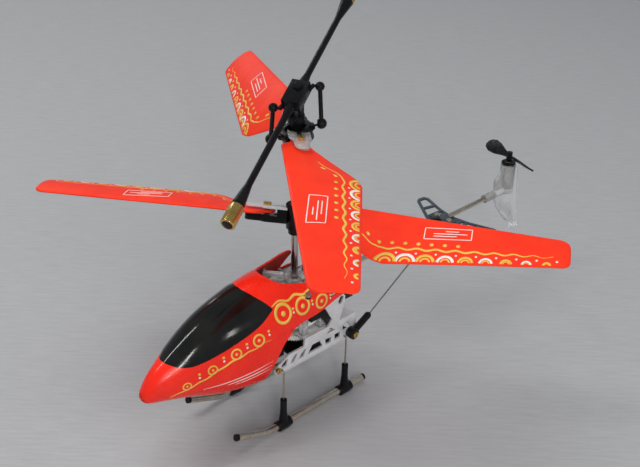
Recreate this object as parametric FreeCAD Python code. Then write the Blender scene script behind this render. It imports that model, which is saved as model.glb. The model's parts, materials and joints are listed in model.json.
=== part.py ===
import FreeCAD, Part
import math
import os

# Micro coaxial helicopter, in millimetres.
# Origin: on the mast axis, in the plane that the skids stand on.
# Nose towards -Y, tail towards +Y, port side towards +X, +Z up.

# ---------------------------------------------------------------- driving dimensions
ROTOR_RADIUS = 95.0          # both main rotors
LOWER_ROTOR_Z = 78.4         # mid plane of the lower blades' roots
UPPER_ROTOR_Z = 109.5        # mid plane of the upper blades' roots
FLYBAR_Z = 122.2             # flybar pivot
BLADE_SCREW_R = 10.0         # blade pivot screws, from the mast axis
BLADE_THICK = 1.1
LOWER_PITCH = 18.0           # degrees, leading edge up
UPPER_PITCH = 29.0
LOWER_AZIMUTHS = {"a": 34.6, "b": 217.5}
UPPER_AZIMUTHS = {"a": -38.0, "b": 153.0}
UPPER_AXIS = 144.0           # plan direction of the upper hub's tilting axis
HUB_TILT = 16.8              # tilt of the upper hub about that axis
FLYBAR_DIRECTION = 114.7     # plan direction of the flybar's raised end
FLYBAR_TILT = 22.8
LOWER_CONES = {"a": -1.1, "b": 0.1}   # droop or rise of each blade, degrees
UPPER_CONES = {"a": -2.3, "b": 2.4}
BLADE_TWIST = 8.0            # pitch lost between the grip and the tip
GRIP_END = 18.6              # outer end of the blade grips

MAST_R = 1.25                # outer rotor shaft
MAST_BORE_R = 0.85
INNER_SHAFT_R = 0.80
MAST_BOTTOM = 34.4
INNER_BOTTOM = 27.6

TRACK = 14.0                 # skids, from the centre plane
SKID_R = 1.3
SKID_Z = 2.0
SKID_REAR = 23.6
SKID_BEND = -25.0             # the skids turn up forward of here
SKID_FRONT = (-39.0, 7.8)     # y and z of the tubes' front ends
PLUG_L = 1.0
LEG_Y = (-17.4, 14.0)        # front and rear legs
PLATE_X = 12.0               # inner face of the side plates
PLATE_T = 0.8
RAIL_Z = 24.0                # lower edge of the side plates
LEG_TOP = 26.0               # cross run of the leg wires

BOOM_Z = 45.3
BOOM_R = 1.05
BOOM_FRONT = 15.0
BOOM_END = 118.0
STABILISER_Y = 88.0
STABILISER_SCREW_Y = 83.6
BRACE_BAND_Y = 78.8
TAIL_AXIS_Y = 125.9
TAIL_PROP_Z = 61.3
SLEEVE_BOTTOM = 44.3
SLEEVE_TOP = 57.3
STABILISER_SCREW_X = 3.1
TAIL_MOTOR_R = 2.55
TAIL_PROP_AZIMUTHS = (-15.5, 164.5)
PADDLE_STATIONS = ((1.0, 0.9, 50.0), (4.5, 1.6, 46.0), (8.5, 2.8, 42.0), (12.0, 3.1, 38.0), (14.4, 2.3, 35.0),
                   (15.5, 1.0, 34.0))      # radius, half chord, pitch of the tail propeller's blades

GEAR_MODULE = 0.3
MAIN_TEETH = 60
PINION_TEETH = 10
OUTER_GEAR_Z = 35.2
INNER_GEAR_Z = 30.0
GEAR_FACE = 1.8
CANOPY_WALL = 0.9

os.makedirs("parts", exist_ok=True)
UP = FreeCAD.Vector(0, 0, 1)
ORIGIN = FreeCAD.Vector(0, 0, 0)


# ---------------------------------------------------------------- shape helpers
def vec(x, y, z):
    return FreeCAD.Vector(x, y, z)


def polar(radius, degrees, z=0.0):
    turn = math.radians(degrees)
    return vec(radius * math.cos(turn), radius * math.sin(turn), z)


def rod(start, end, radius):
    along = end.sub(start)
    return Part.makeCylinder(radius, along.Length, start, along)


def tube(start, end, outer, inner):
    return rod(start, end, outer).cut(rod(start, end, inner))


def cone(start, end, radius_start, radius_end):
    along = end.sub(start)
    return Part.makeCone(radius_start, radius_end, along.Length, start, along)


def ball(centre, radius):
    return Part.makeSphere(radius, centre)


def block(low, high):
    size = [b - a for a, b in zip(low, high)]
    return Part.makeBox(size[0], size[1], size[2], vec(*low))


def fuse(shapes):
    return shapes[0].multiFuse(shapes[1:]).removeSplitter()


def group(shapes):
    return Part.makeCompound(shapes)


def mirror_x(shape):
    return shape.mirror(ORIGIN, vec(1, 0, 0))


def turned(shape, degrees, axis=UP, centre=ORIGIN):
    copy = shape.copy()
    copy.rotate(centre, axis, degrees)
    return copy


def prism(points, depth):
    corners = list(points) + [points[0]]
    return Part.Face(Part.makePolygon(corners)).extrude(depth)


def side_prism(outline, x_start, thickness):
    # outline in the (y, z) plane
    return prism([vec(x_start, y, z) for y, z in outline], vec(thickness, 0, 0))


def plan_prism(outline, z_start, thickness):
    return prism([vec(x, y, z_start) for x, y in outline], vec(0, 0, thickness))


def bent_rod(points, radius, bend):
    # straight runs joined by tangent arcs
    edges = []
    start = points[0]
    for before, corner, after in zip(points, points[1:], points[2:]):
        into = corner.sub(before).normalize()
        out = after.sub(corner).normalize()
        half_turn = into.getAngle(out) / 2
        cut = bend * math.tan(half_turn)
        first = corner.sub(vec(*into).multiply(cut))
        last = corner.add(vec(*out).multiply(cut))
        inward = vec(*out).sub(into).normalize()
        reach = bend / math.cos(half_turn) - bend
        middle = corner.add(inward.multiply(reach))
        edges.append(Part.LineSegment(start, first).toShape())
        edges.append(Part.Arc(first, middle, last).toShape())
        start = last
    edges.append(Part.LineSegment(start, points[-1]).toShape())
    profile = Part.Wire(Part.Circle(points[0], points[1].sub(points[0]), radius).toShape())
    return Part.Wire(edges).makePipeShell([profile], True, False)


def pan_screw(seat, direction, head_r, head_h, shank_r, shank_l):
    # head above the seat, shank below it, with a driver slot
    up = vec(*direction).normalize()
    top = seat.add(vec(*up).multiply(head_h))
    tip = seat.sub(vec(*up).multiply(shank_l))
    screw = fuse([rod(seat, top, head_r), rod(tip, seat, shank_r)])
    slot = Part.makeBox(3 * head_r, 0.3 * head_r, head_h)
    slot.translate(vec(-1.5 * head_r, -0.15 * head_r, 0.6 * head_h))
    slot.Placement = FreeCAD.Placement(seat, FreeCAD.Rotation(UP, up)).multiply(slot.Placement)
    return screw.cut(slot)


def save(name, shape):
    solids = shape.Solids
    if len(solids) == 1:
        shape = solids[0]
    else:
        shape = Part.makeCompound(solids)
    shape.exportStep("parts/" + name + ".step")


# ---------------------------------------------------------------- canopy
# Sections across the body: an egg, squarer above its widest line towards the back.
# y, half width, top, widest height, bottom, squareness of the upper half
CANOPY_STATIONS = [
    (-68.5, 0.9, 33.8, 32.6, 31.6, 1.9),
    (-67.0, 2.8, 36.1, 33.0, 30.4, 1.9),
    (-63.5, 4.4, 40.6, 34.4, 29.2, 1.9),
    (-57.5, 6.9, 44.8, 35.3, 27.7, 1.9),
    (-49.0, 9.7, 50.4, 36.5, 24.7, 1.9),
    (-40.0, 11.9, 54.9, 36.5, 21.1, 1.9),
    (-30.0, 13.8, 57.7, 36.5, 18.8, 1.9),
    (-20.0, 15.0, 59.3, 36.5, 18.0, 2.0),
    (-8.0, 14.9, 58.8, 36.5, 18.6, 2.5),
    (2.0, 14.4, 58.8, 36.5, 20.6, 3.4),
    (9.0, 13.9, 59.0, 36.5, 22.2, 4.4),
    (14.0, 13.7, 58.6, 36.5, 23.4, 4.8),
]
LOWER_SQUARENESS = 2.1
SECTION_POINTS = 32
NOSE_END = -60.0             # the wall is also kept at the nose's tip, forward of here
OPENING = [(0.0, -15.7), (2.6, -15.3), (5.6, -13.6), (8.0, -9.4), (10.0, -3.2), (11.5, 3.0), (12.8, 9.0),
           (15.5, 15.0), (0.0, 15.0)]
# side view of what is cut away behind the canopy's lower edge
REAR_CUT = [(-21.0, 5.0), (-22.4, 24.0), (-22.4, 28.4), (-19.0, 36.4), (-14.8, 40.5), (-10.0, 43.4),
            (2.0, 44.4), (9.0, 45.8), (12.6, 46.4), (12.8, 47.2), (4.6, 47.6), (6.3, 49.7), (9.4, 52.6),
            (9.2, 53.6), (7.6, 54.2), (7.6, 70.0), (20.0, 70.0), (20.0, 5.0)]
# plan view of the window's port half, and side view of the region that holds it
WINDOW_SIDE = [(0.0, -59.4), (2.0, -59.0), (4.9, -56.8), (7.2, -53.2), (8.8, -48.7), (10.3, -42.0),
               (11.5, -32.8), (11.8, -25.6), (11.0, -19.6)]
WINDOW_REAR = [(11.0, -19.6), (8.8, -21.6), (6.1, -23.8), (2.6, -25.6), (0.0, -26.1)]
WINDOW_ABOVE = [(-60.0, 39.5), (-53.0, 40.0), (-48.7, 40.6), (-42.0, 42.0), (-32.8, 44.8), (-25.6, 47.4),
                (-19.6, 50.0), (-19.0, 80.0), (-60.0, 80.0)]
CANOPY_SCREW = (12.0, -4.7, 52.0)
BELLY = ((-8.0, -38.0, 10.0), (8.0, -15.0, 24.0))


def canopy_section(y, half_width, top, wide_z, bottom, square, inset):
    points = []
    for index in range(SECTION_POINTS):
        turn = 2 * math.pi * index / SECTION_POINTS
        side = math.cos(turn)
        rise = math.sin(turn)
        power = 2 / (square if rise > 0 else LOWER_SQUARENESS)
        x = math.copysign(abs(side) ** power, side) * (half_width - inset)
        height = (top - wide_z if rise > 0 else wide_z - bottom) - inset
        z = wide_z + math.copysign(abs(rise) ** power, rise) * height
        points.append(vec(x, y, z))
    curve = Part.BSplineCurve()
    curve.interpolate(points, PeriodicFlag=True)
    return Part.Wire(curve.toShape())


def canopy_body(inset):
    rings = []
    for y, half_width, *rest in CANOPY_STATIONS:
        if half_width > inset + 0.4:
            shift = inset if y < NOSE_END else 0.0
            rings.append(canopy_section(y + shift, half_width, *rest, inset))
    return Part.makeLoft(rings, True, False)


def canopy_shell():
    shell = canopy_body(0.0).cut(canopy_body(CANOPY_WALL))
    rear_cut = side_prism(REAR_CUT, -20.0, 40.0)
    half = plan_prism(OPENING, 45.0, 40.0)
    # the belly is open under the battery
    belly = block(*BELLY)
    shell = shell.cut(rear_cut).cut(half).cut(mirror_x(half)).cut(belly)
    return max(shell.Solids, key=lambda solid: solid.Volume)


def window_outline_solid():
    # a leaf seen from above, pointed at the nose and cut square to the body at the back
    port = Part.BSplineCurve()
    port.interpolate([vec(x, y, 30) for x, y in WINDOW_SIDE])
    rear = Part.BSplineCurve()
    rear.interpolate([vec(x, y, 30) for x, y in WINDOW_REAR])
    close = Part.LineSegment(vec(*WINDOW_REAR[-1], 30), vec(*WINDOW_SIDE[0], 30))
    face = Part.Face(Part.Wire([port.toShape(), rear.toShape(), close.toShape()]))
    half = face.extrude(vec(0, 0, 45))
    upper = side_prism(WINDOW_ABOVE, 0.0, 20.0)
    half = half.common(upper)
    return fuse([half, mirror_x(half)])


# ---------------------------------------------------------------- rotor blades
def blade_section(radius, lead, trail):
    # thin cambered section across the blade, leading edge at +lead, flat where the grip holds it
    chord = lead - trail
    camber = 0.045 * chord * min(1.0, max(0.0, (radius - GRIP_END) / 12.0))
    upper = []
    lower = []
    for share in (0.0, 0.08, 0.3, 0.6, 1.0):
        y = lead - share * chord
        arch = 4 * camber * share * (1 - share)
        half = BLADE_THICK / 2 * (0.45 if share in (0.0, 1.0) else 1.0)
        upper.append(vec(radius, y, arch + half))
        lower.append(vec(radius, y, arch - half))
    section = Part.makePolygon(upper + lower[::-1] + [upper[0]])
    outboard = max(0.0, radius - GRIP_END) / (ROTOR_RADIUS - GRIP_END)
    return turned(section, -BLADE_TWIST * outboard, vec(1, 0, 0))


def blade_flat():
    # span along +X, leading edge towards +Y, pivot screw at (BLADE_SCREW_R, 0)
    span = [(13.2, 6.4, -4.6), (GRIP_END, 6.3, -8.2), (31.4, 5.9, -18.6), (46.0, 5.4, -16.6),
            (63.0, 5.0, -14.2), (78.0, 4.5, -12.2),
            (ROTOR_RADIUS - 4.0, 4.0, -10.3), (ROTOR_RADIUS, 1.2, -9.0)]
    sections = [blade_section(*station) for station in span]
    sheet = Part.makeLoft(sections, True, True)
    tab = fuse([
        Part.makeCylinder(3.1, BLADE_THICK, vec(BLADE_SCREW_R, 0, -BLADE_THICK / 2)),
        block((BLADE_SCREW_R, -3.1, -BLADE_THICK / 2), (16.0, 4.4, BLADE_THICK / 2)),
    ])
    hole = rod(vec(BLADE_SCREW_R, 0, -5), vec(BLADE_SCREW_R, 0, 5), 0.86)
    return fuse([sheet, tab]).cut(hole)


def pitched(shape, pitch, azimuth, z, anticlockwise, cone_angle=0.0):
    # a flat blade or grip, set to its pitch and turned to its place on the rotor
    copy = shape.copy()
    if cone_angle:
        copy.rotate(vec(BLADE_SCREW_R, 0, 0), vec(0, 1, 0), -cone_angle)
    if not anticlockwise:
        copy = copy.mirror(ORIGIN, vec(0, 1, 0))
    copy.rotate(ORIGIN, vec(1, 0, 0), pitch if anticlockwise else -pitch)
    copy.rotate(ORIGIN, UP, azimuth)
    copy.translate(vec(0, 0, z))
    return copy


def hub_tilted(shape):
    # the upper hub leans about its own axis; its balls are raised on the far side
    return turned(shape, -HUB_TILT, polar(1, UPPER_AXIS), vec(0, 0, UPPER_ROTOR_Z))


def grip_plate(z, thickness):
    # outer end round, with a slot inboard of the screw
    plate = fuse([
        Part.makeCylinder(2.6, thickness, vec(15.2, 0, z)),
        block((9.0, -2.6, z), (15.2, 2.6, z + thickness)),
        Part.makeCylinder(3.9, thickness, vec(9.0, 0, z)),
        block((2.2, -3.9, z), (9.0, 3.9, z + thickness)),
    ])
    hole = rod(vec(BLADE_SCREW_R, 0, z - 1), vec(BLADE_SCREW_R, 0, z + thickness + 1), 0.86)
    slot = block((1.0, -0.9, z - 1), (7.4, 0.9, z + thickness + 1))
    return plate.cut(hole).cut(slot)


GRIP_GAP = 1.30              # from the blade's mid plane to the grip plates
GRIP_TOP_T = 0.7


def blade_screw():
    top = GRIP_GAP + GRIP_TOP_T
    return pan_screw(vec(BLADE_SCREW_R, 0, top), UP, 1.45, 0.9, 0.8, 2 * top + 0.6)


# ---------------------------------------------------------------- lower rotor
def lower_rotor():
    plates = []
    arms = []
    screws = []
    for key, azimuth in LOWER_AZIMUTHS.items():
        place = (LOWER_PITCH, azimuth, LOWER_ROTOR_Z, True)
        plates.append(pitched(grip_plate(GRIP_GAP, GRIP_TOP_T), *place))
        arm = fuse([grip_plate(-GRIP_GAP - 2.2, 2.2),
                    block((2.2, -3.4, -GRIP_GAP), (5.8, 3.4, GRIP_GAP))])
        arms.append(pitched(arm, *place))
        screws.append(pitched(blade_screw(), *place))
        save("lower_blade_" + key, pitched(blade_flat(), *place, LOWER_CONES[key]))
    boss = fuse([rod(vec(0, 0, LOWER_ROTOR_Z - 5.6), vec(0, 0, LOWER_ROTOR_Z + 3.4), 3.2)] + arms)
    bore = rod(vec(0, 0, 60), vec(0, 0, 100), MAST_R)
    core = rod(vec(0, 0, 60), vec(0, 0, 100), 3.2)
    save("lower_hub", boss.cut(bore))
    save("lower_grip_plates", group([plate.cut(core) for plate in plates]))
    save("lower_blade_screws", group(screws))
    collar_low = LOWER_ROTOR_Z - 5.6
    save("mast_collar", tube(vec(0, 0, collar_low - 2.4), vec(0, 0, collar_low), 2.4, MAST_R))


# ---------------------------------------------------------------- upper rotor, flybar and links
LINK_R = 0.75
BALL_R = 0.68
UPPER_EYE_R = 1.6
LOWER_EYE_R = 1.85
LOWER_SOCKET_R = 1.38         # roomy: the lower eye follows the ball of the hub only nearly
HUB_BALL_R = 8.9
UPPER_BALL_ALONG = 6.5
UPPER_BALL_SIDE = 5.8
UPPER_BALL_DROP = 0.5
CHEEK_IN = 1.2                # side plates of the head that carry the flybar pin
CHEEK_OUT = 2.2
CHEEK_R = 1.5
CARRIAGE_L = 5.2              # half length and half width of the flybar's middle frame
CARRIAGE_W = 3.2
CARRIAGE_TOP = 2.3
BAR_R = 1.1
HOLDER_START = 39.9
WEIGHT_START = 49.2
WEIGHT_END = 56.6
WEIGHT_R = 2.4


def hub_ball(side):
    # centre of a lower ball at rest, side +1 far, -1 near
    direction = polar(side * HUB_BALL_R * math.cos(math.radians(HUB_TILT)), UPPER_AXIS - 90)
    rise = side * HUB_BALL_R * math.sin(math.radians(HUB_TILT))
    return direction.add(vec(0, 0, UPPER_ROTOR_Z + rise))


def flybar_place(along, side, up):
    # a point of the flybar, which leans with its far end raised
    lean = math.radians(FLYBAR_TILT)
    reach = along * math.cos(lean) - up * math.sin(lean)
    rise = along * math.sin(lean) + up * math.cos(lean)
    point = polar(reach, FLYBAR_DIRECTION).add(polar(side, FLYBAR_DIRECTION - 90))
    return point.add(vec(0, 0, FLYBAR_Z + rise))


def flybar_shape(shape):
    # a shape drawn along +X with its side towards -Y, set to the flybar's place
    copy = turned(shape, -FLYBAR_TILT, vec(0, 1, 0))
    copy.rotate(ORIGIN, UP, FLYBAR_DIRECTION)
    copy.translate(vec(0, 0, FLYBAR_Z))
    return copy


def upper_rotor():
    far_ball = hub_ball(1)
    near_ball = hub_ball(-1)
    place_z = UPPER_ROTOR_Z
    bodies = []
    cups = []
    screws = []
    for key, azimuth in UPPER_AZIMUTHS.items():
        seat = UPPER_AXIS if key == "b" else UPPER_AXIS - 180
        place = (UPPER_PITCH, seat, place_z, False)
        cups.append(hub_tilted(pitched(grip_plate(GRIP_GAP, GRIP_TOP_T), *place)))
        arm = fuse([grip_plate(-GRIP_GAP - 1.6, 1.6),
                    block((3.4, -3.4, -GRIP_GAP), (6.0, 3.4, GRIP_GAP))])
        bodies.append(hub_tilted(pitched(arm, *place)))
        screws.append(hub_tilted(pitched(blade_screw(), *place)))
        blade = pitched(blade_flat(), *place, UPPER_CONES[key])
        pivot = polar(BLADE_SCREW_R, seat, place_z)
        blade.rotate(pivot, pitch_normal(UPPER_PITCH, seat, False), azimuth - seat)
        save("upper_blade_" + key, hub_tilted(blade))
    ring = tube(vec(0, 0, place_z - 3.4), vec(0, 0, place_z + 1.6), 5.4, 3.6)
    lugs = [rod(polar(4.4, UPPER_AXIS + turn, place_z), polar(2.35, UPPER_AXIS + turn, place_z), 1.3)
            for turn in (0, 180)]
    arms = []
    for turn in (-90, 90):
        wide = polar(1, UPPER_AXIS + turn)
        tangent = polar(1, UPPER_AXIS + turn + 90)
        near = vec(*wide).multiply(4.8)
        tip = vec(*wide).multiply(6.5)
        spread = vec(*tangent).multiply(2.4)
        small = vec(*tangent).multiply(0.55)
        base = vec(0, 0, place_z - 0.9)
        arms.append(prism([near.add(spread).add(base), tip.add(small).add(base),
                           tip.sub(small).add(base), near.sub(spread).add(base)], vec(0, 0, 1.8)))
        arms.append(rod(vec(*wide).multiply(6.3).add(vec(0, 0, place_z)),
                        vec(*wide).multiply(HUB_BALL_R).add(vec(0, 0, place_z)), 0.42))
        arms.append(ball(vec(*wide).multiply(HUB_BALL_R).add(vec(0, 0, place_z)), BALL_R))
    hub = fuse([hub_tilted(fuse([ring] + lugs + arms))] + bodies)
    pin_line = (polar(6.5, UPPER_AXIS, place_z), polar(6.5, UPPER_AXIS + 180, place_z))
    inner = rod(vec(0, 0, place_z - 8), vec(0, 0, place_z + 8), 3.2)
    # the tilting axis runs through the head on its own pin
    hub = hub.cut(rod(*pin_line, 0.5)).cut(hub_tilted(inner.common(ball(vec(0, 0, place_z), 3.55))))
    hub = hub.cut(rod(vec(0, 0, place_z - 9), vec(0, 0, place_z + 9), 2.3))
    save("upper_hub", hub)
    keep_out = hub_tilted(rod(vec(0, 0, place_z - 8), vec(0, 0, place_z + 8), 5.4))
    save("upper_grip_plates", group([cup.cut(keep_out) for cup in cups]))
    save("upper_blade_screws", group(screws))

    # fixed head: clamped to the inner shaft, carries both pins
    head_bottom = place_z - 6.6
    cheek = []
    for side in (-1, 1):
        near = vec(0, side * CHEEK_IN, FLYBAR_Z)
        far = vec(0, side * CHEEK_OUT, FLYBAR_Z)
        slab = block((-CHEEK_R, min(near.y, far.y), place_z + 3.0), (CHEEK_R, max(near.y, far.y), FLYBAR_Z))
        cheek.append(turned(fuse([slab, rod(near, far, CHEEK_R)]), FLYBAR_DIRECTION))
    head = fuse([rod(vec(0, 0, head_bottom), vec(0, 0, place_z + 4.6), 1.9),
                 rod(vec(0, 0, head_bottom - 1.6), vec(0, 0, head_bottom), 2.1),
                 rod(vec(0, 0, place_z + 3.0), vec(0, 0, place_z + 6.2), 2.9)] + cheek)
    head = head.cut(rod(vec(0, 0, head_bottom - 3), vec(0, 0, place_z + 5.4), INNER_SHAFT_R))
    head = head.cut(rod(*pin_line, 0.45))
    fly_pin = (polar(3.6, FLYBAR_DIRECTION + 90, FLYBAR_Z), polar(3.6, FLYBAR_DIRECTION - 90, FLYBAR_Z))
    head = head.cut(rod(*fly_pin, 0.45))
    save("mast_head", head)
    save("hub_pin", rod(polar(5.2, UPPER_AXIS, place_z), polar(5.2, UPPER_AXIS + 180, place_z), 0.45))
    save("flybar_pin", rod(*fly_pin, 0.45))
    return far_ball, near_ball


def pitch_normal(pitch, azimuth, anticlockwise):
    # unit normal of a pitched blade's root
    normal = FreeCAD.Rotation(vec(1, 0, 0), pitch if anticlockwise else -pitch).multVec(UP)
    return FreeCAD.Rotation(UP, azimuth).multVec(normal)


def link_eye(centre, towards, eye_r, socket_r, mouth_r):
    # hollow eye with its mouth turned to the ball's stalk
    direction = towards.sub(centre)
    socket = Part.makeSphere(socket_r, centre, direction)
    outside = Part.makeSphere(eye_r, centre, direction)
    return outside.cut(fuse([socket, rod(centre, towards, mouth_r)]))


def flybar_and_links(far_ball, near_ball):
    # carriage: short frame closed on top, around the head's cheeks, with bar sockets at both ends
    frame_outer = block((-CARRIAGE_L, -CARRIAGE_W, -1.7), (CARRIAGE_L, CARRIAGE_W, CARRIAGE_TOP))
    frame_inner = block((-3.7, -CHEEK_OUT - 0.3, -4.0), (3.7, CHEEK_OUT + 0.3, CARRIAGE_TOP - 0.6))
    boss = rod(vec(2.0, 0, CARRIAGE_TOP - 0.1), vec(2.0, 0, CARRIAGE_TOP + 0.9), 1.7)
    carriage = [frame_outer.cut(frame_inner), boss]
    weights = []
    for end in (-1, 1):
        carriage.append(rod(vec(end * CARRIAGE_L, 0, 0), vec(end * HOLDER_START, 0, 0), BAR_R))
        carriage.append(cone(vec(end * (CARRIAGE_L - 0.4), 0, 0), vec(end * 10.5, 0, 0), 1.9, BAR_R))
        carriage.append(cone(vec(end * HOLDER_START, 0, 0), vec(end * WEIGHT_START, 0, 0), BAR_R, 2.25))
        weights.append(rod(vec(end * WEIGHT_START, 0, 0), vec(end * WEIGHT_END, 0, 0), WEIGHT_R))
        arm_end = vec(end * UPPER_BALL_ALONG, end * -3.5, -UPPER_BALL_DROP)
        centre = vec(end * UPPER_BALL_ALONG, end * -UPPER_BALL_SIDE, -UPPER_BALL_DROP)
        carriage.append(rod(vec(end * 3.9, end * -2.8, -0.3), arm_end, 0.75))
        carriage.append(rod(arm_end, centre, 0.42))
        carriage.append(ball(centre, BALL_R))
    bar = fuse(carriage).cut(rod(vec(0, -5, 0), vec(0, 5, 0), 0.5))
    save("flybar", flybar_shape(bar))
    save("flybar_weights", group([flybar_shape(weight) for weight in weights]))

    ends = {"far": (1, far_ball), "near": (-1, near_ball)}
    for key, (side, low) in ends.items():
        high = flybar_place(side * UPPER_BALL_ALONG, side * UPPER_BALL_SIDE, -UPPER_BALL_DROP)
        out = polar(1, UPPER_AXIS - 90 if side > 0 else UPPER_AXIS + 90)
        top_in = flybar_place(side * UPPER_BALL_ALONG, side * (UPPER_BALL_SIDE - 3.0), -UPPER_BALL_DROP)
        low_in = low.sub(vec(*out).multiply(3.0))
        upper_eye = link_eye(high, top_in, UPPER_EYE_R, BALL_R + 0.06, 0.72)
        lower_eye = link_eye(low, low_in, LOWER_EYE_R, LOWER_SOCKET_R, LOWER_SOCKET_R - 0.05)
        line = high.sub(low).normalize()
        start = low.add(vec(*line).multiply(LOWER_EYE_R - 0.25))
        end = high.sub(vec(*line).multiply(UPPER_EYE_R - 0.25))
        link = fuse([rod(start, end, LINK_R), upper_eye, lower_eye])
        save("link_" + key, link)


# ---------------------------------------------------------------- drive train
def gear(teeth, z, face, bore, hub_r, hub_h, phase=0.0):
    pitch_r = GEAR_MODULE * teeth / 2
    root = pitch_r - 1.15 * GEAR_MODULE
    tip = pitch_r + 0.9 * GEAR_MODULE
    points = []
    step = 360.0 / teeth
    for tooth in range(teeth):
        middle = tooth * step + phase
        for radius, share in ((root, -0.36), (tip, -0.14), (tip, 0.14), (root, 0.36)):
            points.append(polar(radius, middle + share * step, z))
    body = prism(points, vec(0, 0, face))
    if hub_h:
        body = fuse([body, Part.makeCylinder(hub_r, hub_h, vec(0, 0, z + face))])
    return body.cut(Part.makeCylinder(bore, face + hub_h + 2, vec(0, 0, z - 1)))


GEAR_CENTRES = GEAR_MODULE * (MAIN_TEETH + PINION_TEETH) / 2 + 0.08
MOTOR_R = 3.0
MOTOR_L = 11.0
MOTOR_Z = 39.4


def drive_train():
    save("mast_tube", tube(vec(0, 0, MAST_BOTTOM), vec(0, 0, UPPER_ROTOR_Z - 9.3), MAST_R, MAST_BORE_R))
    shaft = rod(vec(0, 0, INNER_BOTTOM), vec(0, 0, UPPER_ROTOR_Z + 5.4), INNER_SHAFT_R)
    pin_hole = rod(polar(3, UPPER_AXIS, UPPER_ROTOR_Z), polar(3, UPPER_AXIS + 180, UPPER_ROTOR_Z), 0.45)
    save("inner_shaft", shaft.cut(pin_hole))
    save("outer_gear", gear(MAIN_TEETH, OUTER_GEAR_Z, GEAR_FACE, MAST_R, 2.6, 1.4))
    save("inner_gear", gear(MAIN_TEETH, INNER_GEAR_Z, GEAR_FACE, INNER_SHAFT_R, 2.2, 1.4))
    # both motors stand over the gears: the front one drives the outer gear, the rear one the inner gear
    half_pitch = 180.0 / PINION_TEETH
    for name, side, gear_z in (("front", -1, OUTER_GEAR_Z), ("rear", 1, INNER_GEAR_Z)):
        axis = vec(0, side * GEAR_CENTRES, 0)
        pinion = gear(PINION_TEETH, gear_z - 0.3, GEAR_FACE + 0.6, 0.4, 0, 0, -side * 90.0 + half_pitch)
        pinion.translate(axis)
        shaft = rod(axis.add(vec(0, 0, gear_z - 0.3)), axis.add(vec(0, 0, MOTOR_Z - 0.2)), 0.4)
        save(name + "_pinion", fuse([pinion, shaft]))
        foot = axis.add(vec(0, 0, MOTOR_Z))
        save(name + "_motor", rod(foot, foot.add(vec(0, 0, MOTOR_L)), MOTOR_R))


# ---------------------------------------------------------------- airframe
BEARING_R = 2.6
UPPER_BEARING_Z = 48.4
LOWER_BEARING_Z = 39.8
POST_X = 10.3
POST_Y = (-4.6, 3.8)
SHELF_TOP = 34.0
CASE_Z = 46.4


def bearings():
    gap = MAST_R + 0.05
    upper = tube(vec(0, 0, UPPER_BEARING_Z), vec(0, 0, UPPER_BEARING_Z + 1.6), BEARING_R, gap)
    lower = tube(vec(0, 0, LOWER_BEARING_Z), vec(0, 0, LOWER_BEARING_Z + 1.6), BEARING_R, gap)
    foot = tube(vec(0, 0, 27.9), vec(0, 0, 29.2), 1.9, INNER_SHAFT_R + 0.05)
    save("mast_bearings", group([upper, lower, foot]))


def gear_case():
    # clear top plate with a ribbed collar round the mast, on four posts over the shelves
    plate = block((-11.4, -9.0, CASE_Z), (11.4, 9.5, CASE_Z + 1.6))
    collar = rod(vec(0, 0, CASE_Z), vec(0, 0, 50.6), 6.0)
    step = rod(vec(0, 0, 50.6), vec(0, 0, 52.2), 3.9)
    ribs = [turned(block((3.4, -0.35, CASE_Z + 1), (8.6, 0.35, 51.6)), 60 * index) for index in range(6)]
    posts = [block((x - 1.0, y - 1.3, SHELF_TOP), (x + 1.0, y + 1.3, CASE_Z + 0.5))
             for x in (-POST_X, POST_X) for y in POST_Y]
    rings = [rod(vec(0, y, CASE_Z), vec(0, y, CASE_Z + 1.6), 4.2) for y in (-GEAR_CENTRES, GEAR_CENTRES)]
    case = fuse([plate, collar, step] + ribs + posts + rings)
    for y in (-GEAR_CENTRES, GEAR_CENTRES):
        case = case.cut(rod(vec(0, y, 40), vec(0, y, 60), MOTOR_R))
    case = case.cut(rod(vec(0, 0, 40), vec(0, 0, 60), 1.9))
    return case.cut(rod(vec(0, 0, UPPER_BEARING_Z), vec(0, 0, UPPER_BEARING_Z + 1.6), BEARING_R))


PLATE_OUTLINE = [(-20.3, 25.4), (-19.2, RAIL_Z), (19.4, RAIL_Z), (20.6, 26.0), (19.6, 34.2), (11.2, 34.2),
                 (13.8, 41.6), (13.8, 44.2), (12.4, 45.6), (6.4, 45.6), (3.4, 43.4), (7.4, 36.4), (5.6, 34.0),
                 (-6.2, 34.0), (-6.4, 30.8), (-13.6, 30.8), (-18.6, 28.3), (-20.3, 26.8)]
PLATE_HOLES = [
    [(-17.6, 27.4), (-17.0, 26.6), (-15.0, 26.6), (-14.2, 29.2), (-15.4, 29.2)],
    [(-13.2, 26.5), (-11.6, 26.5), (-9.2, 29.4), (-10.8, 29.4)],
    [(-9.4, 26.5), (-6.8, 26.5), (-5.2, 29.4), (-6.4, 29.4)],
    [(-4.6, 26.5), (3.0, 26.5), (1.4, 29.6), (-2.4, 29.6)],
    [(4.4, 26.3), (7.0, 26.3), (7.4, 28.6), (4.2, 28.9)],
    [(9.0, 26.3), (11.8, 26.3), (11.8, 28.9), (9.0, 28.9)],
    [(4.8, 31.0), (9.4, 31.0), (6.4, 33.0)],
    [(13.2, 28.3), (17.8, 28.3), (15.6, 31.6), (13.2, 31.6)],
]


SIDE_SCREWS = [(-19.1, 26.5), (17.0, 26.6)]


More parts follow.
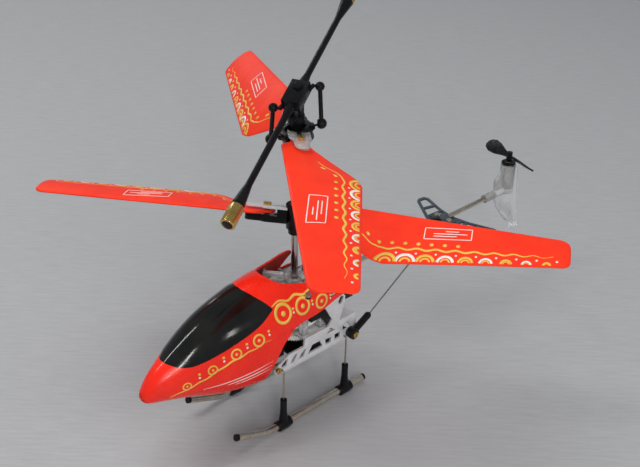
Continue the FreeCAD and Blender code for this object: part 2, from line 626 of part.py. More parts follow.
def side_plate():
    plate = side_prism(PLATE_OUTLINE, PLATE_X, PLATE_T)
    for hole in PLATE_HOLES:
        plate = plate.cut(side_prism(hole, PLATE_X - 1, PLATE_T + 2))
    oval = fuse([rod(vec(5, 11.4, 42.6), vec(20, 11.4, 42.6), 1.1),
                 rod(vec(5, 11.9, 43.6), vec(20, 11.9, 43.6), 1.1)])
    plate = plate.cut(oval)
    for y, z in SIDE_SCREWS:
        plate = plate.cut(rod(vec(5, y, z), vec(20, y, z), 0.7))
    for y in LEG_Y:
        plate = plate.cut(rod(vec(5, y, LEG_TOP), vec(20, y, LEG_TOP), 0.36))
    front_shelf = block((PLATE_X - 4.6, -6.2, SHELF_TOP - 0.8), (PLATE_X + PLATE_T, 5.4, SHELF_TOP))
    rear_shelf = block((PLATE_X - 4.6, 11.2, 33.4), (PLATE_X + PLATE_T, 19.0, 34.2))
    return fuse([plate, front_shelf, rear_shelf])


def frame():
    port = side_plate()
    save("side_plate_left", port)
    save("side_plate_right", mirror_x(port))
    floor = fuse([block((-PLATE_X, -18.6, 24.6), (PLATE_X, 19.0, 25.4)),
                  block((-6.6, -37.5, 24.8), (6.6, -18.0, 25.4))])
    openings = [block((-8.5, y, 24.0), (8.5, y + 8.0, 26.0)) for y in (-16.5, 6.5)]
    floor = floor.cut(fuse(openings))
    foot = tube(vec(0, 0, 25.4), vec(0, 0, 27.9), 2.6, INNER_SHAFT_R + 0.05)
    foot_seat = tube(vec(0, 0, 27.9), vec(0, 0, 29.2), 2.6, 1.9)
    save("floor_plate", fuse([floor, foot, foot_seat]))
    # black motor carrier: a web between the case posts with both motor sleeves and the lower bearing
    web = block((-PLATE_X, -2.4, 39.0), (PLATE_X, 2.3, 42.0))
    boss = rod(vec(0, 0, 39.0), vec(0, 0, 42.0), 3.8)
    bridge = block((-2.6, -GEAR_CENTRES, 39.6), (2.6, GEAR_CENTRES, 42.0))
    sleeves = [rod(vec(0, y, 39.8), vec(0, y, 45.2), 4.0) for y in (-GEAR_CENTRES, GEAR_CENTRES)]
    cheeks = [side_prism([(0.6, 41.6), (3.0, 43.4), (11.0, 33.0), (10.4, 31.0), (7.6, 31.4)], x, 0.6)
              for x in (-PLATE_X, PLATE_X - 0.6)]
    rear_bar = block((-PLATE_X, 5.3, 37.6), (PLATE_X, 7.4, 39.8))
    carrier = fuse([web, boss, bridge, rear_bar] + sleeves + cheeks)
    for y in (-GEAR_CENTRES, GEAR_CENTRES):
        carrier = carrier.cut(rod(vec(0, y, 20), vec(0, y, 60), MOTOR_R))
    carrier = carrier.cut(rod(vec(0, 0, LOWER_BEARING_Z), vec(0, 0, 60), BEARING_R))
    carrier = carrier.cut(rod(vec(0, 0, 30), vec(0, 0, 60), MAST_R + 0.3))
    save("motor_carrier", carrier)
    # boom mount: a block across the frame that holds the boom's front end
    mount = block((-PLATE_X, 15.0, 42.6), (PLATE_X, 18.6, 48.0)).cut(
        rod(vec(0, 10, BOOM_Z), vec(0, 30, BOOM_Z), BOOM_R))
    ears = [block((x, 11.0, 41.6), (x + 1.2, 18.6, 45.4)) for x in (-PLATE_X, PLATE_X - 1.2)]
    save("boom_mount", fuse([mount] + ears))
    save("gear_case", gear_case())
    # light metal strip from the mast collar to the starboard side, on a small foot
    strip = block((3.95, -0.9, 51.6), (11.6, 0.9, 53.0)).cut(block((5.0, -0.35, 50.0), (9.2, 0.35, 54.0)))
    foot = block((9.8, -0.9, CASE_Z + 1.6), (11.4, 0.9, 51.6))
    save("roof_rail", turned(fuse([strip, foot]), 218.0))


BOARD_Z = 34.4


def electrics():
    save("battery", block((-7.0, -38.0, 25.4), (7.0, -20.0, 34.4)))
    board = block((-7.2, -46.0, BOARD_Z), (7.2, -20.0, BOARD_Z + 1.0))
    top = BOARD_Z + 1.0
    chips = [block((-3.5, -44.0, top), (3.5, -37.0, top + 1.2)),
             block((-6.5, -32.0, top), (-2.5, -27.0, top + 1.0)),
             block((3.0, -33.0, top), (6.0, -30.0, top + 1.4))]
    save("circuit_board", fuse([board] + chips))
    # slide switch and charging socket, reached from below at the belly
    switch = block((-7.0, -14.6, 25.6), (-1.0, -10.6, 28.6))
    groove = block((-5.6, -13.2, 25.4), (-2.4, -12.0, 27.6))
    save("switch_body", switch.cut(groove))
    slider = block((-5.5, -13.1, 26.2), (-4.1, -12.1, 27.5))
    knob = block((-5.3, -13.0, 23.6), (-4.3, -12.2, 26.2))
    save("power_switch", fuse([slider, knob]))
    socket = block((1.5, -15.0, 25.6), (6.5, -10.6, 29.6))
    save("charge_socket", socket.cut(rod(vec(4.0, -12.8, 20), vec(4.0, -12.8, 28.6), 1.25)))


# ---------------------------------------------------------------- landing gear
def landing_gear():
    sides = {"left": 1, "right": -1}
    plugs = []
    sockets = []
    for name, side in sides.items():
        x = side * TRACK
        path = [vec(x, SKID_REAR, SKID_Z), vec(x, SKID_BEND, SKID_Z), vec(x, *SKID_FRONT)]
        skid = bent_rod(path, SKID_R, 14.0)
        save("skid_" + name, skid)
        front = vec(x, *SKID_FRONT)
        nose = vec(0, SKID_FRONT[0] - SKID_BEND, SKID_FRONT[1] - SKID_Z).normalize().multiply(PLUG_L)
        plugs.append(rod(vec(x, SKID_REAR, SKID_Z), vec(x, SKID_REAR + PLUG_L, SKID_Z), SKID_R))
        plugs.append(rod(front, front.add(nose), SKID_R))
        for y in LEG_Y:
            collar = rod(vec(x, y - 3.0, SKID_Z), vec(x, y + 3.0, SKID_Z), 2.0)
            stem = cone(vec(x, y, SKID_Z), vec(x, y, 8.0), 1.9, 1.25)
            post = rod(vec(x, y, 7.6), vec(x, y, 13.2), 1.25)
            pad = block((x - 1.2, y - 2.4, 0.0), (x + 1.2, y + 2.4, 1.6))
            socket = fuse([collar, stem, post, pad])
            socket = socket.cut(rod(vec(x, y - 6, SKID_Z), vec(x, y + 6, SKID_Z), SKID_R))
            sockets.append(socket.cut(rod(vec(x, y, 6.0), vec(x, y, 16.0), 0.33)))
    save("skid_plugs", group(plugs))
    save("skid_sockets", group(sockets))
    wires = []
    for y in LEG_Y:
        path = [vec(TRACK, y, 6.0), vec(TRACK, y, LEG_TOP), vec(-TRACK, y, LEG_TOP), vec(-TRACK, y, 6.0)]
        wires.append(bent_rod(path, 0.33, 1.0))
    save("leg_wires", group(wires))


# ---------------------------------------------------------------- tail
def screw_line(x, low, high, radius):
    return rod(vec(x, STABILISER_SCREW_Y, low), vec(x, STABILISER_SCREW_Y, high), radius)


def stabiliser():
    # horizontal open lattice, both sides of the boom
    outline = [(-0.1, -7.0), (5.4, -7.0), (8.4, -5.6), (14.0, -1.8), (19.8, 2.0), (20.6, 3.6), (20.2, 6.6),
               (18.3, 7.6), (7.6, 3.9), (-0.1, 2.6)]
    half = plan_prism([(x, STABILISER_Y + y) for x, y in outline], BOOM_Z - 2.2, 0.9)
    cells = [[(8.2, -4.4), (13.0, -1.2), (11.6, 4.3), (7.6, 3.0)],
             [(14.0, -0.5), (19.0, 2.8), (19.3, 4.2), (19.0, 6.0), (18.0, 6.4), (12.7, 4.7)],
             [(5.6, -5.6), (7.0, -4.9), (6.6, 2.6), (5.2, 2.2)]]
    for cell in cells:
        half = half.cut(plan_prism([(x, STABILISER_Y + y) for x, y in cell], BOOM_Z - 4, 6))
    plate = fuse([half, mirror_x(half)])
    return plate.cut(fuse([screw_line(x, 40, 50, 0.6) for x in (-STABILISER_SCREW_X, STABILISER_SCREW_X)]))


def tail():
    save("tail_boom", tube(vec(0, BOOM_FRONT, BOOM_Z), vec(0, BOOM_END, BOOM_Z), BOOM_R, 0.65))
    save("stabiliser", stabiliser())
    seat_z = BOOM_Z + 0.5
    front = STABILISER_SCREW_Y - 2.2
    back = STABILISER_SCREW_Y + 2.4
    clamp = fuse([block((-4.9, front, BOOM_Z - 1.3), (4.9, back, seat_z)),
                  rod(vec(0, front, BOOM_Z), vec(0, back, BOOM_Z), BOOM_R + 0.8)])
    clamp = clamp.cut(block((-6, front - 1, BOOM_Z - 4.0), (6, back + 1, BOOM_Z - 1.3)))
    clamp = clamp.cut(rod(vec(0, 60, BOOM_Z), vec(0, 110, BOOM_Z), BOOM_R))
    screws = []
    for x in (-STABILISER_SCREW_X, STABILISER_SCREW_X):
        clamp = clamp.cut(screw_line(x, 40, 50, 0.6))
        screws.append(pan_screw(vec(x, STABILISER_SCREW_Y, seat_z), UP, 1.2, 0.8, 0.6, 2.6))
    save("stabiliser_clamp", clamp)
    save("stabiliser_screws", group(screws))
    tail_end()


def tail_end():
    # clear housing: motor sleeve, boom socket and a fin that falls to a small ball
    y = TAIL_AXIS_Y
    motor_z = SLEEVE_BOTTOM + 1.8
    motor_top = SLEEVE_TOP + 0.4
    sleeve = rod(vec(0, y, SLEEVE_BOTTOM), vec(0, y, SLEEVE_TOP), 3.3)
    socket = rod(vec(0, BOOM_END - 7.0, BOOM_Z), vec(0, y, BOOM_Z), 1.8)
    fin = side_prism([(y - 8.4, BOOM_Z + 6.2), (y - 4.0, SLEEVE_TOP - 0.6), (y + 4.0, SLEEVE_TOP - 0.6),
                      (y + 6.8, BOOM_Z + 8.2), (y + 11.4, 25.2), (y + 9.6, 23.6), (y + 2.8, 28.4),
                      (y - 4.8, 37.6), (y - 8.0, BOOM_Z - 1.4)], -0.6, 1.2)
    tip = ball(vec(0, y + 9.8, 23.8), 2.0)
    housing = fuse([sleeve, socket, fin, tip])
    housing = housing.cut(rod(vec(0, y, motor_z), vec(0, y, 70), TAIL_MOTOR_R))
    housing = housing.cut(rod(vec(0, BOOM_END - 9.0, BOOM_Z), vec(0, BOOM_END, BOOM_Z), BOOM_R))
    save("tail_housing", housing)
    save("tail_motor", fuse([rod(vec(0, y, motor_z), vec(0, y, motor_top), TAIL_MOTOR_R),
                             rod(vec(0, y, motor_top), vec(0, y, motor_top + 0.5), 1.1)]))
    collar = tube(vec(0, y, motor_top), vec(0, y, motor_top + 0.8), 3.1, 1.15)
    save("tail_collar", collar)

    hub = fuse([rod(vec(0, y, TAIL_PROP_Z - 1.8), vec(0, y, TAIL_PROP_Z + 1.8), 1.3),
                rod(vec(0, y, motor_top + 0.8), vec(0, y, TAIL_PROP_Z - 1.7), 0.5)])
    paddles = []
    for azimuth in TAIL_PROP_AZIMUTHS:
        sections = []
        for radius, half, turn in PADDLE_STATIONS:
            ring = Part.makePolygon([vec(radius, -half, -0.35), vec(radius, half, -0.35),
                                     vec(radius, half, 0.35), vec(radius, -half, 0.35),
                                     vec(radius, -half, -0.35)])
            ring.rotate(ORIGIN, vec(1, 0, 0), -turn)
            sections.append(ring)
        paddle = Part.makeLoft(sections, True, True)
        paddle.rotate(ORIGIN, UP, azimuth)
        paddle.translate(vec(0, y, TAIL_PROP_Z))
        paddles.append(paddle)
    save("tail_propeller", fuse([hub] + paddles))


def braces():
    knuckles = []
    wires = []
    screws = []
    for side in (-1, 1):
        low = vec(side * 14.2, 17.0, 26.6)
        high = vec(side * 14.2, 25.0, 31.0)
        eye = rod(vec(side * 12.8, low.y, low.z), vec(side * 15.6, low.y, low.z), 2.2)
        body = fuse([rod(low, high, 1.35), ball(high, 1.35), eye])
        hole = rod(vec(side * 10, low.y, low.z), vec(side * 18, low.y, low.z), 0.7)
        knuckles.append(body.cut(hole))
        top = vec(side * 1.9, BRACE_BAND_Y, BOOM_Z - 1.0)
        wires.append(rod(high.add(vec(0, 0.6, 0.2)), top, 0.33))
        start = vec(side * 15.6, low.y, low.z)
        screws.append(pan_screw(start, vec(side, 0, 0), 1.2, 0.8, 0.68, 4.2))
    boom_band = tube(vec(0, BRACE_BAND_Y - 1.4, BOOM_Z), vec(0, BRACE_BAND_Y + 1.4, BOOM_Z), 2.2, BOOM_R)
    cuts = group(wires)
    save("brace_wires", cuts)
    save("brace_band", boom_band.cut(cuts))
    hollow = [k.cut(cuts) for k in knuckles]
    save("brace_knuckles", group(hollow))
    save("brace_screws", group(screws))


def small_screws():
    screws = []
    for side in (-1, 1):
        seat = vec(side * (PLATE_X + PLATE_T), *SIDE_SCREWS[0])
        screws.append(pan_screw(seat, vec(side, 0, 0), 1.2, 0.8, 0.68, 2.0))
    save("frame_screws", group(screws))


def main():
    shell = canopy_shell()
    leaf = window_outline_solid()
    # proud bubble, set into the shell
    pane = leaf.common(canopy_body(-0.25).cut(canopy_body(CANOPY_WALL)))
    screws = []
    for side in (-1, 1):
        seat = vec(side * CANOPY_SCREW[0], *CANOPY_SCREW[1:])
        screws.append(pan_screw(seat, vec(side * 0.8, 0.0, 0.6), 1.25, 0.6, 0.6, 2.6))
    screws = group(screws)
    save("canopy", shell.cut(leaf).cut(screws))
    save("canopy_window", pane)
    save("canopy_screws", screws)
    lower_rotor()
    far_ball, near_ball = upper_rotor()
    flybar_and_links(far_ball, near_ball)
    drive_train()
    bearings()
    frame()
    electrics()
    landing_gear()
    tail()
    braces()
    small_screws()


main()
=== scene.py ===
import json
import math

import bmesh
import bpy
import numpy as np
from mathutils import Matrix, Vector, geometry


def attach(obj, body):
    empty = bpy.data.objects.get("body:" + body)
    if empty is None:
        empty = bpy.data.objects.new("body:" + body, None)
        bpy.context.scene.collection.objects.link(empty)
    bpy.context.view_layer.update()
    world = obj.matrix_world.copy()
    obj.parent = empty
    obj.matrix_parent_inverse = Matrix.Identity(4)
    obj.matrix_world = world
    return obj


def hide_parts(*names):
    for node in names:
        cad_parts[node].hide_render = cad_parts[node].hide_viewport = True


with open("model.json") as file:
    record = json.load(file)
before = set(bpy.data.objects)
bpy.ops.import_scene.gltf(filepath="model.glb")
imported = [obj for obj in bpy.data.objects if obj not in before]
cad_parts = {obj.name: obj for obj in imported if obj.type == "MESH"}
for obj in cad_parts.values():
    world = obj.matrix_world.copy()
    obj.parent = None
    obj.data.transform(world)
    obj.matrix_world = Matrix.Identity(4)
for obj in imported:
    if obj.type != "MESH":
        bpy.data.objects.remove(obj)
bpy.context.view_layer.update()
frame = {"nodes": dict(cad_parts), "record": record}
NODES = frame["nodes"]
MM = 0.001                   # pieces are drawn in millimetres and stored in metres

# ---------------------------------------------------------------- sizes shared with the CAD part
ROTOR_RADIUS = 95.0
LOWER_ROTOR_Z = 78.4
UPPER_ROTOR_Z = 109.5
FLYBAR_Z = 122.2
BLADE_SCREW_R = 10.0
BLADE_HALF = 0.55
GRIP_END = 18.6
LOWER_PITCH = 18.0
UPPER_PITCH = 29.0
LOWER_BLADES = {"a": (34.6, -1.1), "b": (217.5, 0.1)}
UPPER_BLADES = {"a": (-36.0, -38.0, -2.3), "b": (144.0, 153.0, 2.4)}
BLADE_TWIST = 8.0
UPPER_AXIS = 144.0
HUB_TILT = 16.8
FLYBAR_DIRECTION = 114.7
FLYBAR_TILT = 22.8
WEIGHT_END = 56.6
CANOPY_SCREW = (12.0, -4.7, 52.0)
CANOPY_WALL = 0.8
WINDOW_WALL = 0.7


# ---------------------------------------------------------------- material helpers
class Shader:
    """A node material with short calls for the pieces that every finish here is made of."""

    def __init__(self, name):
        self.material = bpy.data.materials.new(name)
        self.material.use_nodes = True
        self.tree = self.material.node_tree
        self.shader = self.tree.nodes["Principled BSDF"]
        self.place = self.tree.nodes.new("ShaderNodeTexCoord").outputs["Object"]

    def set(self, **values):
        for key, value in values.items():
            self.shader.inputs[key.replace("_", " ")].default_value = value
        return self

    def node(self, kind, **values):
        made = self.tree.nodes.new(kind)
        for key, value in values.items():
            made.inputs[key.replace("_", " ")].default_value = value
        return made

    def link(self, source, target):
        self.tree.links.new(source, target)

    def stretched(self, scale):
        mapping = self.node("ShaderNodeMapping")
        mapping.inputs["Scale"].default_value = scale
        self.link(self.place, mapping.inputs["Vector"])
        return mapping.outputs["Vector"]

    def noise(self, size_mm, detail=3.0, rough=0.5, stretch=(1, 1, 1)):
        made = self.node("ShaderNodeTexNoise", Scale=1.0 / (size_mm * MM), Detail=detail, Roughness=rough)
        self.link(self.stretched(stretch), made.inputs["Vector"])
        return made.outputs["Fac"]

    def ramp(self, source, stops):
        made = self.node("ShaderNodeValToRGB")
        made.color_ramp.elements[0].position = stops[0][0]
        made.color_ramp.elements[0].color = stops[0][1]
        made.color_ramp.elements[1].position = stops[-1][0]
        made.color_ramp.elements[1].color = stops[-1][1]
        for position, colour in stops[1:-1]:
            made.color_ramp.elements.new(position).color = colour
        self.link(source, made.inputs["Fac"])
        return made.outputs["Color"]

    def colour_between(self, source, dark, light, low=0.3, high=0.7):
        stops = [(low, (*dark, 1)), (high, (*light, 1))]
        self.link(self.ramp(source, stops), self.shader.inputs["Base Color"])

    def rough_between(self, source, smooth, coarse, low=0.3, high=0.7):
        made = self.node("ShaderNodeMapRange")
        for key, value in (("From Min", low), ("From Max", high), ("To Min", smooth), ("To Max", coarse)):
            made.inputs[key].default_value = value
        self.link(source, made.inputs["Value"])
        self.link(made.outputs["Result"], self.shader.inputs["Roughness"])

    def bump(self, source, depth_mm, strength=1.0):
        made = self.node("ShaderNodeBump", Strength=strength, Distance=depth_mm * MM)
        self.link(source, made.inputs["Height"])
        self.link(made.outputs["Normal"], self.shader.inputs["Normal"])


def moulded(name, dark, light, smooth, coarse, grain_mm=0.5, depth_mm=0.01, coat=0.0, **extra):
    made = Shader(name)
    broad = made.noise(9.0, 4.0)
    made.colour_between(broad, dark, light)
    made.rough_between(made.noise(3.0, 5.0, 0.6), smooth, coarse)
    made.bump(made.noise(grain_mm, 2.0), depth_mm, 0.5)
    made.set(Coat_Weight=coat, Coat_Roughness=0.06, **extra)
    return made.material


def metal(name, dark, light, smooth, coarse, stretch=(1, 1, 1), grain_mm=0.12, depth_mm=0.003, metallic=1.0):
    made = Shader(name)
    grain = made.noise(grain_mm, 4.0, 0.6, stretch)
    made.colour_between(made.noise(4.0, 5.0, 0.6), dark, light)
    made.rough_between(grain, smooth, coarse)
    made.bump(grain, depth_mm, 0.6)
    made.set(Metallic=metallic)
    return made.material


def clear(name, tint, smooth, coarse):
    made = Shader(name)
    made.colour_between(made.noise(6.0, 3.0), tint, (1.0, 1.0, 1.0))
    made.rough_between(made.noise(2.0, 5.0, 0.6), smooth, coarse)
    made.bump(made.noise(1.6, 3.0), 0.02, 0.5)
    made.set(Transmission_Weight=0.78, IOR=1.46, Specular_IOR_Level=0.6)
    return made.material


ALONG_Y = (1, 0.06, 1)
LOOKS = {
    "red_shell": moulded("red_gloss", (0.84, 0.016, 0.005), (0.95, 0.024, 0.007), 0.20, 0.32,
                         0.8, 0.006, 0.12, Specular_IOR_Level=0.4),
    # darker, duller copy of the red gloss for the canopy's inner face: painted shade, as the inside is the
    # same red plastic left unlit
    "red_inside_painted_shade": moulded("red_inner_painted_shade", (0.30, 0.010, 0.006), (0.40, 0.014, 0.007), 0.45, 0.6, 0.6, 0.02),
    "red_blade": moulded("red_satin", (0.88, 0.030, 0.008), (0.98, 0.042, 0.010), 0.38, 0.5,
                         0.35, 0.008, 0.05, Specular_IOR_Level=0.3),
    "gold_print": moulded("gold_print", (0.72, 0.42, 0.045), (0.92, 0.62, 0.11), 0.34, 0.46,
                          0.3, 0.006, 0.1),
    "white_print": moulded("white_print", (0.80, 0.74, 0.70), (0.92, 0.88, 0.85), 0.34, 0.46,
                           0.3, 0.006, 0.2),
    "smoked_window": moulded("smoked_gloss", (0.004, 0.004, 0.004), (0.010, 0.011, 0.009), 0.08, 0.15,
                             1.5, 0.002, 0.0, Specular_IOR_Level=0.4),
    "aluminium": metal("satin_aluminium", (0.76, 0.77, 0.78), (0.90, 0.91, 0.92), 0.30, 0.45, ALONG_Y,
                       metallic=0.55),
    "black_plastic": moulded("black_moulding", (0.003, 0.003, 0.004), (0.007, 0.007, 0.008), 0.22, 0.36, 0.3,
                             0.012, 0.0, Specular_IOR_Level=0.22),
    "clear_plastic": clear("clear_moulding", (0.90, 0.93, 0.92), 0.05, 0.16),
    "steel": metal("ground_steel", (0.42, 0.40, 0.37), (0.62, 0.60, 0.57), 0.14, 0.28, (1, 1, 0.05)),
    "brass": metal("turned_brass", (0.62, 0.40, 0.10), (0.84, 0.60, 0.20), 0.18, 0.32),
    "wire": metal("drawn_wire", (0.40, 0.36, 0.28), (0.58, 0.54, 0.44), 0.22, 0.36),
    "pale_brass": metal("pale_brass", (0.72, 0.66, 0.50), (0.86, 0.82, 0.68), 0.18, 0.32),
    "champagne_tube": metal("champagne_tube", (0.62, 0.55, 0.44), (0.82, 0.75, 0.63), 0.16, 0.30, ALONG_Y),
    "lattice_plastic": moulded("lattice_moulding", (0.035, 0.050, 0.062), (0.060, 0.080, 0.095), 0.32, 0.5),
    "screw_steel": metal("screw_steel", (0.45, 0.43, 0.38), (0.66, 0.63, 0.56), 0.2, 0.34),
    "white_plastic": moulded("gear_acetal", (0.74, 0.74, 0.70), (0.84, 0.84, 0.81), 0.35, 0.5),
    "motor_can": metal("drawn_can", (0.56, 0.52, 0.50), (0.74, 0.70, 0.68), 0.2, 0.34, (1, 1, 0.05)),
    "battery_wrap": moulded("foil_pouch", (0.34, 0.35, 0.37), (0.46, 0.48, 0.50), 0.25, 0.4, 1.2, 0.05),
    "board_green": moulded("solder_mask", (0.010, 0.070, 0.026), (0.018, 0.110, 0.045), 0.25, 0.4),
    "socket_plastic": moulded("socket_moulding", (0.010, 0.010, 0.010), (0.022, 0.022, 0.022), 0.4, 0.55),
}


# ---------------------------------------------------------------- mesh helpers
def add_piece(name, mesh, look, body, replaced=()):
    piece = bpy.data.objects.new(name, mesh)
    bpy.context.scene.collection.objects.link(piece)
    mesh.materials.clear()
    mesh.materials.append(LOOKS[look])
    for polygon in mesh.polygons:
        polygon.use_smooth = True
    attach(piece, body)
    if replaced:
        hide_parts(*replaced)
    return piece


def mesh_of(name, points, faces):
    mesh = bpy.data.meshes.new(name)
    mesh.from_pydata([tuple(float(c) * MM for c in point) for point in points], [], faces)
    mesh.update()
    return mesh


def baked(piece):
    """Leaves a piece with its modifiers' result as its own mesh."""
    graph = bpy.context.evaluated_depsgraph_get()
    mesh = bpy.data.meshes.new_from_object(piece.evaluated_get(graph))
    piece.modifiers.clear()
    piece.data = mesh
    return piece


SHARP = math.radians(38)


def softened(node, width_mm, body, slot_name):
    """The shape of a CAD node with its hard edges rounded off."""
    mesh = NODES[node].data.copy()
    work = bmesh.new()
    work.from_mesh(mesh)
    bmesh.ops.remove_doubles(work, verts=work.verts, dist=2e-6)
    bmesh.ops.dissolve_limit(work, angle_limit=math.radians(0.4), verts=work.verts, edges=work.edges)
    work.to_mesh(mesh)
    work.free()
    piece = add_piece(node + "_finished", mesh, slot_name, body, [node])
    bevel = piece.modifiers.new("edges", "BEVEL")
    bevel.width = width_mm * MM
    bevel.segments = 2
    bevel.limit_method = "ANGLE"
    bevel.angle_limit = SHARP
    bevel.use_clamp_overlap = True
    bevel.harden_normals = True
    return baked(piece)


def natural_spline(xs, ys):
    """A smooth curve through the points, straight at both ends."""
    xs = np.array(xs, float)
    ys = np.array(ys, float)
    gaps = np.diff(xs)
    count = len(xs)
    system = np.eye(count)
    load = np.zeros(count)
    for i in range(1, count - 1):
        system[i, i - 1:i + 2] = gaps[i - 1], 2 * (gaps[i - 1] + gaps[i]), gaps[i]
        load[i] = 6 * ((ys[i + 1] - ys[i]) / gaps[i] - (ys[i] - ys[i - 1]) / gaps[i - 1])
    bend = np.linalg.solve(system, load)

    def value(x):
        i = int(min(max(np.searchsorted(xs, x) - 1, 0), count - 2))
        before = x - xs[i]
        after = xs[i + 1] - x
        gap = gaps[i]
        cubic = (bend[i] * after ** 3 + bend[i + 1] * before ** 3) / (6 * gap)
        left = (ys[i] / gap - bend[i] * gap / 6) * after
        right = (ys[i + 1] / gap - bend[i + 1] * gap / 6) * before
        return cubic + (left + right)

    return value


def smooth_path(points, step, closed=False):
    """Evenly sampled curve through 2-D points."""
    points = [np.array(p, float) for p in points]
    if closed:
        points = [points[-1]] + points + points[:2]
    else:
        points = [2 * points[0] - points[1]] + points + [2 * points[-1] - points[-2]]
    path = []
    for p0, p1, p2, p3 in zip(points, points[1:], points[2:], points[3:]):
        count = max(1, int(round(np.linalg.norm(p2 - p1) / step)))
        for index in range(count):
            t = index / count
            path.append(0.5 * (2 * p1 + (p2 - p0) * t + (2 * p0 - 5 * p1 + 4 * p2 - p3) * t * t
                               + (3 * p1 - p0 - 3 * p2 + p3) * t ** 3))
    if not closed:
        path.append(points[-2])
    return path


def straight_path(points, step):
    path = []
    for start, end in zip(points, points[1:]):
        start = np.array(start, float)
        end = np.array(end, float)
        count = max(1, int(round(np.linalg.norm(end - start) / step)))
        path += [start + (end - start) * index / count for index in range(count)]
    path.append(np.array(points[-1], float))
    return path


def inside(point, outline):
    x, y = point
    crossings = False
    for (x1, y1), (x2, y2) in zip(outline, outline[1:] + outline[:1]):
        if (y1 > y) != (y2 > y) and x < (x2 - x1) * (y - y1) / (y2 - y1) + x1:
            crossings = not crossings
    return crossings


def filled_outline(outline, spacing, lines=()):
    """Even triangles inside a closed 2-D outline, with more points along lines: points and faces."""
    ring = [tuple(map(float, point)) for point in outline]
    extra = []
    for line in lines:
        near = np.array(ring)
        for u, v in line:
            if np.min(np.hypot(near[:, 0] - u, near[:, 1] - v)) > 0.3 * spacing and inside((u, v), ring):
                extra.append((float(u), float(v)))
    array = np.array(ring + extra)
    low = array.min(axis=0)
    high = array.max(axis=0)
    points = ring + extra
    row = 0
    v = low[1]
    while v < high[1]:
        u = low[0] + (spacing / 2 if row % 2 else 0)
        while u < high[0]:
            if np.min(np.hypot(array[:, 0] - u, array[:, 1] - v)) > 0.6 * spacing and inside((u, v), ring):
                points.append((u, v))
            u += spacing
        v += spacing * math.sqrt(3) / 2
        row += 1
    result = geometry.delaunay_2d_cdt([Vector(p) for p in points], [], [list(range(len(ring)))], 1, 1e-7)
    return [tuple(p) for p in result[0]], [tuple(face) for face in result[2]]


def walled(points, normals, faces, wall, swell):
    """Gives an open sheet a wall behind it, joined by a rounded rim. Points in millimetres."""
    points = [np.array(p, float) for p in points]
    normals = [np.array(n, float) for n in normals]
    count = len(points)
    seen = {}
    for face in faces:
        for a, b in zip(face, face[1:] + face[:1]):
            seen[(a, b)] = True
    rim = [(a, b) for a, b in seen if (b, a) not in seen]
    outward = {}
    for a, b in rim:
        along = points[b] - points[a]
        out = np.cross(along, normals[a] + normals[b])
        out /= max(np.linalg.norm(out), 1e-9)
        for vertex in (a, b):
            outward[vertex] = outward.get(vertex, 0) + out
    body = list(points) + [p - wall * n for p, n in zip(points, normals)]
    middle = {}
    for vertex, out in outward.items():
        middle[vertex] = len(body)
        out = out / max(np.linalg.norm(out), 1e-9)
        body.append(points[vertex] - 0.5 * wall * normals[vertex] + swell * out)
    result = list(faces) + [tuple(count + v for v in reversed(face)) for face in faces]
    for a, b in rim:
        result.append((b, a, middle[a], middle[b]))
        result.append((middle[b], middle[a], count + a, count + b))
    return body, result


def lathe(profile, segments=48):
    """Turned solid round +X from (x, radius) pairs, closed at both ends."""
    points = []
    faces = []
    for x, radius in profile:
        for index in range(segments):
            turn = 2 * math.pi * index / segments
            points.append((x, radius * math.cos(turn), radius * math.sin(turn)))
    for ring in range(len(profile) - 1):
        for index in range(segments):
            after = (index + 1) % segments
            a = ring * segments
            b = a + segments
            faces.append((a + index, a + after, b + after, b + index))
    faces.append(tuple(range(segments)))
    last = (len(profile) - 1) * segments
    faces.append(tuple(last + index for index in reversed(range(segments))))
    return points, faces


def placed(points, matrix):
    return [tuple(matrix @ Vector(point)) for point in points]


def turn_about(degrees, axis, centre=(0, 0, 0)):
    move = Matrix.Translation(Vector(centre))
    return move @ Matrix.Rotation(math.radians(degrees), 4, Vector(axis)) @ move.inverted()


# ---------------------------------------------------------------- canopy surface
NOSE_Y = -68.5
# y, half width, height above the widest line, depth below it, height of the widest line,
# squareness of the upper half
CANOPY_STATIONS = [(-68.5, 0.0, 0.0, 0.0, 32.6, 1.9), (-67.0, 2.8, 3.1, 2.6, 33.0, 1.9),
                   (-63.5, 4.4, 6.2, 5.2, 34.4, 1.9), (-57.5, 6.9, 9.5, 7.6, 35.3, 1.9),
                   (-49.0, 9.7, 13.9, 11.8, 36.5, 1.9), (-40.0, 11.9, 18.4, 15.4, 36.5, 1.9),
                   (-30.0, 13.8, 21.2, 17.7, 36.5, 1.9), (-20.0, 15.0, 22.8, 18.5, 36.5, 2.0),
                   (-8.0, 14.9, 22.3, 17.9, 36.5, 2.5), (2.0, 14.4, 22.3, 15.9, 36.5, 3.4),
                   (9.0, 13.9, 22.5, 14.3, 36.5, 4.4), (14.0, 13.7, 22.1, 13.1, 36.5, 4.8)]
LOWER_SQUARENESS = 2.1
# side view of the line under which the lower panel is set in
CREASE = [(-62.0, 31.0), (-58.2, 31.8), (-54.1, 33.3), (-47.8, 35.7), (-41.1, 38.3), (-30.4, 40.6),
          (-24.0, 41.8), (-15.0, 43.0)]
CREASE_STEP = 0.35
CREASE_RUN = 0.5


def nose_measure(y):
    return math.sqrt(max(0.0, y - NOSE_Y))


STATION_S = [nose_measure(station[0]) for station in CANOPY_STATIONS]
HALF_WIDTH, RISE, DEPTH, WIDEST, SQUARE = [
    natural_spline(STATION_S, [station[column] for station in CANOPY_STATIONS]) for column in range(1, 6)]


def ease(x, start, end):
    t = min(1.0, max(0.0, (x - start) / (end - start)))
    return t * t * (3 - 2 * t)


def crease_z(y):
    return float(np.interp(y, [point[0] for point in CREASE], [point[1] for point in CREASE]))


def squareness(y, upper):
    return SQUARE(nose_measure(y)) if upper else LOWER_SQUARENESS


